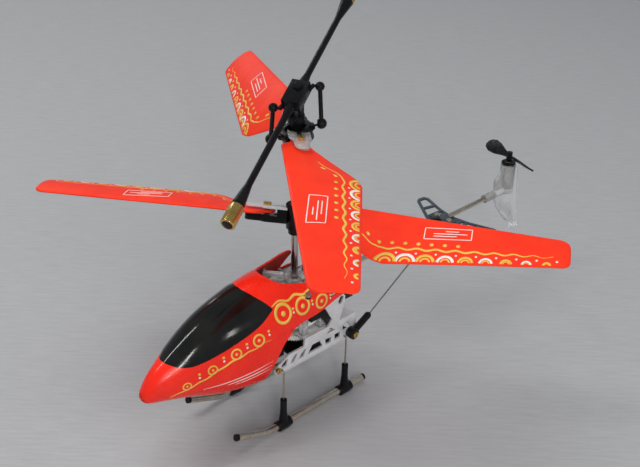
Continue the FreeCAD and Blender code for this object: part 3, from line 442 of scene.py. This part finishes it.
def canopy_point(y, turn, lift=0.0):
    """Port side surface: turn is -90 at the keel, 0 at the widest line and 90 on the roof."""
    s = nose_measure(y)
    angle = math.radians(turn)
    upper = turn > 0
    power = 2 / squareness(y, upper)
    x = abs(math.cos(angle)) ** power * HALF_WIDTH(s)
    reach = RISE(s) if upper else -DEPTH(s)
    z = WIDEST(s) + abs(math.sin(angle)) ** power * reach
    step = CREASE_STEP * ease(crease_z(y) - z, 0.0, CREASE_RUN) * ease(y, -62.0, -50.0)
    point = np.array((max(0.0, x - step * abs(math.cos(angle))), y, z))
    if lift:
        point += lift * canopy_normal(y, turn)
    return point


def canopy_normal(y, turn):
    h = 0.05
    y = max(y, NOSE_Y + 0.02)
    along = canopy_point(y + h, turn) - canopy_point(max(NOSE_Y, y - h), turn)
    around = canopy_point(y, min(90.0, turn + h * 3)) - canopy_point(y, max(-90.0, turn - h * 3))
    normal = np.cross(along, around)
    size = np.linalg.norm(normal)
    if size < 1e-9:
        return np.array((0.0, -1.0, 0.0))
    return normal / size


def turn_at_height(y, z):
    s = nose_measure(y)
    upper = z > WIDEST(s)
    reach = RISE(s) if upper else DEPTH(s)
    share = min(1.0, abs(z - WIDEST(s)) / max(reach, 1e-6))
    turn = math.degrees(math.asin(share ** (squareness(y, upper) / 2)))
    return turn if upper else -turn


def turn_at_width(y, x, upper=True):
    share = min(1.0, abs(x) / max(HALF_WIDTH(nose_measure(y)), 1e-6))
    turn = math.degrees(math.acos(share ** (squareness(y, upper) / 2)))
    return turn if upper else -turn


AROUND = 0.26                # millimetres of surface per degree of turn, for even triangles
# outlines of the openings on the port side, as (y, x) seen from above or (y, z) seen from the side
WINDOW_PLAN = [(-59.4, 0.0), (-59.0, 2.0), (-56.8, 4.9), (-53.2, 7.2), (-48.7, 8.8), (-42.0, 10.3),
               (-32.8, 11.5), (-25.6, 11.8), (-19.6, 11.0)]
WINDOW_REAR = [(-19.6, 11.0), (-21.6, 8.8), (-23.8, 6.1), (-25.6, 2.6), (-26.1, 0.0)]
OPENING_PLAN = [(-15.7, 0.0), (-15.3, 2.6), (-13.6, 5.6), (-9.4, 8.0), (-3.2, 10.0), (3.0, 11.5),
                (7.6, 12.4)]
FIN_SIDE = [(9.2, 54.0), (9.4, 52.7), (6.3, 49.7), (4.8, 48.1), (6.2, 47.4), (12.2, 47.3),
            (12.8, 46.9), (12.5, 46.3)]
REAR_SIDE = [(12.5, 46.3), (9.0, 45.8), (2.0, 44.4), (-10.0, 43.3), (-14.8, 40.5), (-19.0, 36.4),
             (-22.3, 28.6), (-22.4, 22.4)]
BELLY_PLAN = [(-22.4, 8.2), (-37.6, 8.2), (-38.2, 7.6), (-38.2, 0.0)]


def from_plan(points, upper=True):
    return [(y, turn_at_width(y, x, upper) * AROUND) for y, x in points]


def from_side(points):
    return [(y, turn_at_height(y, z) * AROUND) for y, z in points]


def window_outline(step):
    side = smooth_path(from_plan(WINDOW_PLAN), step)
    rear = smooth_path(from_plan(WINDOW_REAR), step)
    return side + rear[1:]


def canopy_outline(step):
    top = 90 * AROUND
    outline = straight_path([(NOSE_Y, top), (WINDOW_PLAN[0][0], top)], step)
    outline += window_outline(step)[1:]
    outline += straight_path([(WINDOW_REAR[-1][0], top), (OPENING_PLAN[0][0], top)], step)[1:]
    outline += smooth_path(from_plan(OPENING_PLAN) + from_side(FIN_SIDE[:1]), step)[1:]
    outline += smooth_path(from_side(FIN_SIDE), step)[1:]
    outline += smooth_path(from_side(REAR_SIDE), step)[1:]
    outline += straight_path([outline[-1]] + from_plan(BELLY_PLAN, False)[1:], step)[1:]
    outline += straight_path([(BELLY_PLAN[-1][0], -top), (NOSE_Y, -top)], step)[1:]
    outline += straight_path([(NOSE_Y, -top), (NOSE_Y, top)], 6.0)[1:-1]
    return outline


def both_halves(points, normals, faces):
    """Joins a port half to its mirror image along the centre plane."""
    points = [np.array(p, float) for p in points]
    places = {}
    merged = []
    merged_normals = []
    index_of = []

    def add(point, normal):
        key = tuple(np.round(point, 4) + 0.0)
        if key not in places:
            places[key] = len(merged)
            merged.append(point)
            merged_normals.append(normal)
        return places[key]

    result = []
    for sign in (1, -1):
        flip = np.array((sign, 1, 1))
        index_of = [add(p * flip, n * flip) for p, n in zip(points, normals)]
        for face in faces:
            corners = [index_of[v] for v in face]
            if len(set(corners)) == len(corners):
                result.append(tuple(corners if sign > 0 else reversed(corners)))
    return merged, merged_normals, result


def crease_lines(spacing):
    lines = []
    for drop in (0.0, CREASE_RUN / 2, CREASE_RUN):
        ys = np.arange(-61.0, -15.0, spacing)
        lines.append([(y, turn_at_height(y, crease_z(y) - drop) * AROUND) for y in ys])
    return lines


def canopy_sheet(outline, spacing, lift=None, lines=()):
    flat, faces = filled_outline(outline, spacing, lines)
    points = []
    normals = []
    for y, v in flat:
        turn = min(90.0, max(-90.0, v / AROUND))
        normal = canopy_normal(y, turn)
        point = canopy_point(y, turn)
        if turn >= 89.999 or turn <= -89.999:
            point[0] = 0.0
            normal = normal * np.array((0.0, 1.0, 1.0))
            normal = normal / np.linalg.norm(normal)
        if lift:
            point = point + lift(y, v) * normal
        points.append(point)
        normals.append(normal)
    # every face looks outwards
    oriented = []
    for face in faces:
        a, b, c = (points[v] for v in face[:3])
        facing = np.dot(np.cross(b - a, c - a), normals[face[0]])
        oriented.append(tuple(face) if facing >= 0 else tuple(reversed(face)))
    return both_halves(points, normals, oriented)


def shaded(mesh, normals):
    """Gives the outer and inner sheets of a walled mesh their exact surface normals."""
    count = len(normals)
    wanted = [Vector(n) for n in normals] + [-Vector(n) for n in normals]
    wanted += [vertex.normal.copy() for vertex in mesh.vertices[2 * count:]]
    for polygon in mesh.polygons:
        polygon.use_smooth = True
    mesh.normals_split_custom_set_from_vertices(wanted)


OUTLINE_STEP = 0.5
RIM_SWELL = 0.12             # how far the rounded rim stands out past the sheets


def build_canopy():
    outline = canopy_outline(OUTLINE_STEP)
    points, normals, faces = canopy_sheet(outline, 0.8, None, crease_lines(0.6))
    body, walls = walled(points, normals, faces, CANOPY_WALL, RIM_SWELL)
    mesh = mesh_of("canopy_shell", body, walls)
    piece = add_piece("canopy_shell", mesh, "red_shell", "airframe", ["canopy"])
    # the inner sheet takes the darker red as painted shade
    mesh.materials.append(LOOKS["red_inside_painted_shade"])
    for polygon in mesh.polygons[len(faces):2 * len(faces)]:
        polygon.material_index = 1
    shaded(piece.data, normals)


WINDOW_SUNK = 0.18           # the window's edge lies this far under the canopy's surface
WINDOW_SWELL = 0.38          # from its edge it swells out by this much
WINDOW_SWELL_RUN = 2.2
WINDOW_GAP = 0.14


def build_window():
    outline = window_outline(OUTLINE_STEP)
    array = np.array(outline)
    centre = array.mean(axis=0)
    top = 90 * AROUND
    ridge = straight_path([(WINDOW_REAR[-1][0], top), (WINDOW_PLAN[0][0], top)], OUTLINE_STEP)
    outline = [tuple(point) for point in outline] + [tuple(point) for point in ridge[1:-1]]
    edge = array[2:-2]

    def lift(y, v):
        away = np.min(np.hypot(edge[:, 0] - y, edge[:, 1] - v))
        return -WINDOW_SUNK + WINDOW_SWELL * ease(away, 0.0, WINDOW_SWELL_RUN)

    shrunk = []
    for point in outline:
        point = np.array(point)
        if point[1] < top - 1e-6 or abs(point[0] - WINDOW_PLAN[0][0]) < 1e-6:
            pull = centre - point
            pull = pull / np.linalg.norm(pull) * WINDOW_GAP
            if abs(point[1] - top) < 1e-6:
                pull = np.array((WINDOW_GAP, 0.0))
            point = point + pull
        shrunk.append(tuple(point))
    points, normals, faces = canopy_sheet(shrunk, 0.7, lift)
    body, walls = walled(points, normals, faces, WINDOW_WALL, 0.0)
    mesh = mesh_of("window_bubble", body, walls)
    piece = add_piece("window_bubble", mesh, "smoked_window", "airframe", ["canopy_window"])
    shaded(piece.data, normals)


# ---------------------------------------------------------------- printed pattern
PRINT_LIFT = 0.03
PRINT_DEPTH = 0.05


class Print:
    """Thin print drawn in two flat coordinates and laid on a surface."""

    def __init__(self, to_surface):
        self.to_surface = to_surface
        self.points = []
        self.faces = []

    def strip(self, path, widths, closed=False):
        path = [np.array(p, float) for p in path]
        count = len(path)
        start = len(self.points)
        for index, point in enumerate(path):
            before = path[index - 1] if index or closed else point
            after = path[(index + 1) % count] if index < count - 1 or closed else point
            along = after - before
            along /= max(np.linalg.norm(along), 1e-9)
            across = np.array((-along[1], along[0]))
            share = index / max(1, count - 1)
            half = widths(share) / 2
            for side in (-1, 0, 1):
                self.points.append(self.to_surface(*(point + side * half * across)))
        last = count if closed else count - 1
        for index in range(last):
            a = start + 3 * index
            b = start + 3 * ((index + 1) % count)
            self.faces.append((a, a + 1, b + 1, b))
            self.faces.append((a + 1, a + 2, b + 2, b + 1))

    def ring(self, centre, radius, width, start=0.0, sweep=360.0):
        closed = sweep >= 360.0
        count = max(10, int(radius * sweep / 360.0 * 2 * math.pi / 0.45))
        path = []
        for index in range(count if closed else count + 1):
            turn = math.radians(start + sweep * index / count)
            path.append((centre[0] + radius * math.cos(turn), centre[1] + radius * math.sin(turn)))
        self.strip(path, lambda share: width, closed)

    def dot(self, centre, radius):
        start = len(self.points)
        count = 14
        self.points.append(self.to_surface(*centre))
        for index in range(count):
            turn = 2 * math.pi * index / count
            self.points.append(self.to_surface(centre[0] + radius * math.cos(turn),
                                               centre[1] + radius * math.sin(turn)))
        for index in range(count):
            self.faces.append((start, start + 1 + index, start + 1 + (index + 1) % count))

    def wave(self, points, width):
        def tapered(share):
            return max(0.08, width * math.sin(math.pi * min(0.98, share + 0.04)) ** 0.6)
        self.strip(smooth_path(points, 0.5), tapered)

    def piece(self, name, look, body):
        mesh = mesh_of(name, self.points, self.faces)
        made = add_piece(name, mesh, look, body)
        solid = made.modifiers.new("film", "SOLIDIFY")
        solid.thickness = PRINT_DEPTH * MM
        solid.offset = 0.0
        return baked(made)


def canopy_side(sign):
    """Print coordinates on one side of the canopy: y and z as seen from the side."""
    def to_surface(y, z):
        point = canopy_point(y, turn_at_height(y, z), PRINT_LIFT)
        return (sign * point[0], point[1], point[2])
    return to_surface


def build_canopy_print():
    for side, sign in (("port", 1), ("starboard", -1)):
        gold = Print(canopy_side(sign))
        white = Print(canopy_side(sign))
        # even row of rings above the crease, larger behind the window
        row = [(-55.0 + 9.0 * step, 1.35 + 0.22 * step) for step in range(4)]
        row += [(-16.5 + 8.6 * step, 3.1 - 0.3 * step) for step in range(3)]
        for y, size in row:
            height = 2.8 * ease(y, -24.0, -17.0) * ease(y, 16.0, -12.0) + 0.9
            centre = (y, crease_z(y) + size + height)
            gold.ring(centre, size, 0.34 * size)
            gold.dot(centre, 0.3 * size)
            white.dot((y + 4.3, crease_z(y + 4.3) + 1.9 + height), 0.4)
            gold.dot((y + 4.3, crease_z(y + 4.3) + 3.2 + height), 0.5)
        # a wavy line along the crease and one near the roof
        crest = [-60.5 + 3.1 * step for step in range(13)]
        gold.wave([(y, crease_z(y) + 0.75 + 0.4 * (step % 2)) for step, y in enumerate(crest)], 0.7)
        gold.wave([(-20.0 + 3.4 * step, 52.9 + 0.9 * (step % 2)) for step in range(8)], 0.8)
        # three plain pinstripes low on the side
        white.wave([(-49.0, 31.2), (-40.0, 31.0), (-31.0, 31.8), (-22.6, 33.4)], 0.4)
        white.wave([(-40.0, 29.6), (-32.0, 30.0), (-22.9, 31.5)], 0.5)
        white.wave([(-37.0, 28.4), (-31.0, 28.6), (-23.4, 29.9)], 0.3)
        gold.piece("canopy_print_gold_" + side, "gold_print", "airframe")
        white.piece("canopy_print_white_" + side, "white_print", "airframe")


# ---------------------------------------------------------------- rotor blades
LEAD_LINE = [(12.0, 6.4), (91.0, 4.0)]
TRAIL_LINE = [(13.2, -4.6), (31.4, -18.6), (95.0, -9.8)]
TRAIL_CORNER_R = TRAIL_LINE[1][0]
ROOT_TAB = 3.1
ROOT_END = 13.6              # the tab has widened into the blade here
TIP_LEAD_ROUND = 4.0
TIP_TRAIL_ROUND = 2.6
CAMBER = 0.045
CAMBER_RUN = 12.0
EDGE_SHARE = 0.035           # share of the chord over which the edges are rounded


def along_line(line, x):
    return float(np.interp(x, [p[0] for p in line], [p[1] for p in line]))


def corner_drop(r, radius):
    into = max(0.0, r - (ROTOR_RADIUS - radius))
    return radius - math.sqrt(max(0.0, radius ** 2 - into ** 2))


def blade_edges(r):
    """Leading and trailing edge offsets at radius r."""
    if r < BLADE_SCREW_R:
        half = math.sqrt(max(0.0, ROOT_TAB ** 2 - (BLADE_SCREW_R - r) ** 2))
        return half, -half
    lead = along_line(LEAD_LINE, r) - corner_drop(r, TIP_LEAD_ROUND)
    blend = ease(r, BLADE_SCREW_R, ROOT_END)
    lead = ROOT_TAB + (lead - ROOT_TAB) * blend
    line = along_line(TRAIL_LINE, r)
    # the corner where the root edge meets the trailing edge is rounded
    soft = 0.9 * math.exp(-((r - TRAIL_CORNER_R) / 1.6) ** 2)
    trail = line + soft + corner_drop(r, TIP_TRAIL_ROUND)
    if r < ROOT_END:
        trail = -ROOT_TAB + (trail + ROOT_TAB) * blend
    return lead, trail


def blade_camber(r, share, chord):
    run = min(1.0, max(0.0, (r - GRIP_END) / CAMBER_RUN))
    return 4 * CAMBER * chord * run * share * (1 - share)


def blade_half(share):
    edge = min(share, 1 - share)
    round_edge = math.sqrt(min(1.0, edge / EDGE_SHARE)) if edge < EDGE_SHARE else 1.0
    thin = 1.0 - 0.45 * ease(share, 0.3, 1.0)
    return BLADE_HALF * (0.12 + 0.88 * round_edge) * thin


def twisted(r, y, z):
    turn = -math.radians(BLADE_TWIST) * max(0.0, r - GRIP_END) / (ROTOR_RADIUS - GRIP_END)
    return (r, y * math.cos(turn) - z * math.sin(turn), y * math.sin(turn) + z * math.cos(turn))


def blade_surface(r, y, top=True, lift=0.0):
    lead, trail = blade_edges(r)
    chord = max(lead - trail, 1e-6)
    share = min(1.0, max(0.0, (lead - y) / chord))
    half = blade_half(share) + lift
    return twisted(r, y, blade_camber(r, share, chord) + (half if top else -half))


def blade_stations():
    """Radii of the blade's sections, closer together on the rounds of tab and tip."""
    start = BLADE_SCREW_R - ROOT_TAB
    tip = ROTOR_RADIUS - TIP_LEAD_ROUND
    stations = [start + ROOT_TAB * (1 - math.cos(math.pi / 2 * k / 10)) for k in range(10)]
    stations += list(np.linspace(BLADE_SCREW_R, tip, 110))
    stations += [tip + TIP_LEAD_ROUND * math.sin(math.pi / 2 * k / 14) for k in range(1, 15)]
    return stations


CHORD_SHARES = [0.5 - 0.5 * math.cos(math.pi * k / 30) for k in range(31)]


def blade_mesh(name, matrix):
    points = []
    faces = []
    stations = blade_stations()
    width = len(CHORD_SHARES)
    ring = 2 * width - 2
    loop = [(share, 1) for share in CHORD_SHARES] + [(share, -1) for share in CHORD_SHARES[-2:0:-1]]
    for r in stations:
        lead, trail = blade_edges(r)
        chord = lead - trail
        closing = min(1.0, 0.25 + 0.75 * min((r - stations[0]) / 0.6, (ROTOR_RADIUS - r) / 0.5))
        for share, side in loop:
            height = blade_camber(r, share, chord) + side * blade_half(share) * closing
            points.append(twisted(r, lead - share * chord, height))
    for row in range(len(stations) - 1):
        for index in range(ring):
            after = (index + 1) % ring
            a = row * ring
            b = a + ring
            faces.append((a + index, a + after, b + after, b + index))
    faces.append(tuple(reversed(range(ring))))
    last = (len(stations) - 1) * ring
    faces.append(tuple(last + index for index in range(ring)))
    mesh = mesh_of(name, placed(points, matrix), faces)
    work = bmesh.new()
    work.from_mesh(mesh)
    bmesh.ops.recalc_face_normals(work, faces=work.faces)
    work.to_mesh(mesh)
    work.free()
    return mesh


def lower_matrix(azimuth, cone):
    droop = turn_about(-cone, (0, 1, 0), (BLADE_SCREW_R, 0, 0))
    lift = Matrix.Translation((0, 0, LOWER_ROTOR_Z))
    return lift @ turn_about(azimuth, (0, 0, 1)) @ turn_about(LOWER_PITCH, (1, 0, 0)) @ droop


def upper_seat(seat):
    """From a grip drawn along +X to its place on the tilted upper hub."""
    mirror = Matrix.Diagonal((1, -1, 1, 1))
    lift = Matrix.Translation((0, 0, UPPER_ROTOR_Z))
    axis = (math.cos(math.radians(UPPER_AXIS)), math.sin(math.radians(UPPER_AXIS)), 0)
    tilt = turn_about(-HUB_TILT, axis, (0, 0, UPPER_ROTOR_Z))
    return tilt @ lift @ turn_about(seat, (0, 0, 1)) @ turn_about(-UPPER_PITCH, (1, 0, 0)) @ mirror


def upper_matrix(seat, azimuth, cone):
    droop = turn_about(-cone, (0, 1, 0), (BLADE_SCREW_R, 0, 0))
    swing = turn_about(-(azimuth - seat), (0, 0, 1), (BLADE_SCREW_R, 0, 0))
    return upper_seat(seat) @ swing @ droop


PRINT_MARGIN = 0.35
LABEL_START, LABEL_END = 46.0, 61.8
LABEL_LOW, LABEL_HIGH = 10.8, 16.4


def blade_print(matrix):
    """Print coordinates on a blade: radius, and height in from the straight trailing line."""
    def to_surface(r, height):
        lead, trail = blade_edges(r)
        y = along_line(TRAIL_LINE, r) + height
        y = min(max(y, trail + PRINT_MARGIN), lead - PRINT_MARGIN)
        return tuple(matrix @ Vector(blade_surface(r, y, True, PRINT_LIFT)))
    return to_surface


def build_blade(name, matrix):
    add_piece(name + "_skin", blade_mesh(name, matrix), "red_blade", name, [name])
    gold = Print(blade_print(matrix))
    white = Print(blade_print(matrix))
    # even row of arches that stand on the trailing edge and shrink towards the tip
    for step in range(9):
        size = 3.9 - 0.26 * step
        centre = (34.4 + 6.6 * step, 0.6)
        (white if step % 2 else gold).ring(centre, size - 0.6, 0.30 * size, 4, 172)
        gold.ring(centre, 0.45 * size, 0.20 * size, 6, 168)
        white.dot((centre[0] + 3.3, 0.5 + size), 0.4)
    # a wavy line above the arches, with an even row of dots over it
    gold.wave([(22.0 + 3.2 * step, 6.4 - 0.13 * step + 0.8 * (step % 2)) for step in range(22)], 0.85)
    for step in range(8):
        gold.dot((27.0 + 4.4 * step, 9.0 - 0.18 * step), 0.7)
    # plain label frame without any lettering
    frame_line = [(LABEL_START, LABEL_LOW), (LABEL_END, LABEL_LOW),
                  (LABEL_END, LABEL_HIGH), (LABEL_START, LABEL_HIGH)]
    white.strip(straight_path(frame_line + frame_line[:1], 0.8)[:-1], lambda share: 0.32, True)
    for height, start, end in ((14.8, 52.9, 57.4), (13.5, 49.0, 60.3), (12.3, 49.0, 56.9)):
        white.strip(straight_path([(start, height), (end, height)], 1.0), lambda share: 0.36)
    gold.piece(name + "_print_gold", "gold_print", name)
    white.piece(name + "_print_white", "white_print", name)


def build_blades():
    for key, (azimuth, cone) in LOWER_BLADES.items():
        build_blade("lower_blade_" + key, lower_matrix(azimuth, cone))
    for key, (seat, azimuth, cone) in UPPER_BLADES.items():
        build_blade("upper_blade_" + key, upper_matrix(seat, azimuth, cone))


# ---------------------------------------------------------------- the rest keeps its CAD shape
# how far the hard edges of each node are rounded, by the body that the node rides on
SOFT_EDGES = {
    "airframe": [("side_plate_left", 0.10), ("side_plate_right", 0.10), ("floor_plate", 0.1),
                 ("roof_rail", 0.12), ("gear_case", 0.12), ("motor_carrier", 0.2), ("boom_mount", 0.25),
                 ("brace_band", 0.15), ("brace_knuckles", 0.15), ("skid_sockets", 0.15),
                 ("stabiliser", 0.15), ("stabiliser_clamp", 0.3), ("tail_housing", 0.2),
                 ("battery", 0.8), ("circuit_board", 0.08), ("switch_body", 0.15),
                 ("charge_socket", 0.15), ("tail_collar", 0.15), ("front_motor", 0.3),
                 ("rear_motor", 0.3), ("tail_motor", 0.2), ("canopy_screws", 0.1),
                 ("frame_screws", 0.1), ("stabiliser_screws", 0.1), ("brace_screws", 0.1)],
    "lower_rotor": [("lower_hub", 0.2), ("lower_grip_plates", 0.12), ("lower_blade_screws", 0.1),
                    ("mast_collar", 0.2)],
    "upper_rotor": [("mast_head", 0.2)],
    "upper_hub": [("upper_hub", 0.18), ("upper_grip_plates", 0.12), ("upper_blade_screws", 0.1)],
    "flybar": [("flybar", 0.2), ("flybar_weights", 0.25)],
    "link_far": [("link_far", 0.1)],
    "link_near": [("link_near", 0.1)],
    "tail_rotor": [("tail_propeller", 0.12)],
    "power_switch": [("power_switch", 0.1)],
}


def finish_frame():
    slots = {entry["node"]: entry["material_slot"] for entry in frame["record"]["subparts"]}
    done = set()
    for body, members in SOFT_EDGES.items():
        for node, width in members:
            softened(node, width, body, slots[node])
            done.add(node)
    for node, part in NODES.items():
        if node in done:
            continue
        part.data.materials.clear()
        part.data.materials.append(LOOKS["wire" if node.endswith("_wires") else slots[node]])


# ---------------------------------------------------------------- stage, light and camera
CAMERA_AZIMUTH = 45.76
CAMERA_ELEVATION = 29.80
CAMERA_ROLL = 1.52
CAMERA_PLACE = (0.22917, -0.21070, 0.24852)
CAMERA_LENS = 56.95
CAMERA_SENSOR = 36.0


def build_camera():
    az, el, roll = (math.radians(v) for v in (CAMERA_AZIMUTH, CAMERA_ELEVATION, CAMERA_ROLL))
    back = Vector((math.sin(az) * math.cos(el), -math.cos(az) * math.cos(el), math.sin(el)))
    level = Vector((math.cos(az), math.sin(az), 0))
    upright = back.cross(level)
    right = math.cos(roll) * level + math.sin(roll) * upright
    up = -math.sin(roll) * level + math.cos(roll) * upright
    data = bpy.data.cameras.new("camera")
    data.lens = CAMERA_LENS
    data.sensor_width = CAMERA_SENSOR
    data.clip_start = 0.01
    camera = bpy.data.objects.new("camera", data)
    camera.matrix_world = Matrix.Translation(CAMERA_PLACE) @ Matrix((right, up, back)).transposed().to_4x4()
    bpy.context.scene.collection.objects.link(camera)
    bpy.context.scene.camera = camera


def area_light(name, place, aim, size, power, colour):
    data = bpy.data.lights.new(name, "AREA")
    data.shape = "RECTANGLE"
    data.size, data.size_y = size
    data.energy = power
    data.color = colour
    light = bpy.data.objects.new(name, data)
    light.location = place
    light.rotation_euler = (Vector(aim) - Vector(place)).to_track_quat("-Z", "Y").to_euler()
    bpy.context.scene.collection.objects.link(light)
    return light


def build_weight_caps():
    """Dark discs that close the outer ends of the two flybar weights."""
    profile = [(WEIGHT_END - 0.8, 1.75), (WEIGHT_END + 0.02, 1.75),
               (WEIGHT_END + 0.05, 1.6), (WEIGHT_END + 0.05, 0.2)]
    lean = Matrix.Translation((0, 0, FLYBAR_Z)) @ turn_about(FLYBAR_DIRECTION, (0, 0, 1))
    for name, turn in (("far", 0), ("near", 180)):
        place = lean @ turn_about(-FLYBAR_TILT, (0, 1, 0)) @ turn_about(turn, (0, 0, 1))
        points, faces = lathe(profile)
        add_piece("weight_cap_" + name, mesh_of("weight_cap_" + name, placed(points, place), faces),
                  "black_plastic", "flybar")


def build_screw_washers():
    """Dark washers under the heads of the two canopy screws."""
    profile = [(0.0, 0.9), (0.0, 1.6), (0.05, 1.72), (0.16, 1.72), (0.22, 1.62), (0.22, 0.9)]
    for name, side in (("port", 1), ("starboard", -1)):
        seat = Vector((side * CANOPY_SCREW[0], *CANOPY_SCREW[1:]))
        aim = Vector((side * 0.8, 0.0, 0.6)).to_track_quat("X", "Z").to_matrix().to_4x4()
        points, faces = lathe(profile)
        name = "canopy_washer_" + name
        mesh = mesh_of(name, placed(points, Matrix.Translation(seat) @ aim), faces)
        add_piece(name, mesh, "black_plastic", "airframe")


FLOOR_HALF = 3000.0
WARM_WHITE = (1.0, 0.98, 0.93)
SCENE_CENTRE = (0, 0, 0.05)
# narrow lights that draw the highlights: place, size and power
STRIPS = {
    "roof_strip": ((-0.25, -0.45, 0.81), (0.035, 0.30), 1.00),
    "nose_strip": ((0.70, -0.43, 0.42), (0.035, 0.36), 1.20),
    "side_strip": ((0.85, 0.05, 0.35), (0.05, 0.12), 0.24),
    "shoulder_strip": ((-0.76, 0.18, 0.48), (0.05, 0.40), 0.40),
}


def build_floor():
    surface = Shader("pale_floor")
    streaks = surface.noise(1.2, 3.0, 0.6, (0.10, 1, 1))
    surface.colour_between(streaks, (0.36, 0.37, 0.385), (0.44, 0.45, 0.465), 0.2, 0.8)
    surface.rough_between(surface.noise(2.0, 3.0), 0.55, 0.7)
    corners = [(FLOOR_HALF * x, FLOOR_HALF * y, 0) for x, y in ((-1, -1), (1, -1), (1, 1), (-1, 1))]
    mesh = mesh_of("floor", corners, [(0, 1, 2, 3)])
    mesh.materials.append(surface.material)
    floor = bpy.data.objects.new("floor", mesh)
    floor.rotation_euler.z = math.radians(CAMERA_AZIMUTH)
    bpy.context.scene.collection.objects.link(floor)


def build_light():
    world = bpy.data.worlds.new("studio")
    world.use_nodes = True
    world.node_tree.nodes["Background"].inputs["Color"].default_value = (0.80, 0.84, 0.90, 1)
    world.node_tree.nodes["Background"].inputs["Strength"].default_value = 0.30
    bpy.context.scene.world = world
    bpy.context.scene.view_settings.view_transform = "Standard"
    # large soft lights, hidden from reflections
    soft = area_light("overhead", (-0.25, -0.10, 1.1), (0, 0, 0.03), (0.9, 0.9), 7.0, (1.0, 0.98, 0.95))
    fill = area_light("fill", (0.85, -0.40, 0.55), (0, 0, 0.04), (0.6, 0.6), 4.2, (1.0, 0.98, 0.97))
    for light in (soft, fill):
        light.visible_glossy = False
    for name, (place, size, power) in STRIPS.items():
        area_light(name, place, SCENE_CENTRE, size, power, WARM_WHITE)


build_camera()
build_floor()
build_light()
finish_frame()
build_canopy()
build_window()
build_canopy_print()
build_blades()
build_weight_caps()
build_screw_washers()
bpy.context.view_layer.update()
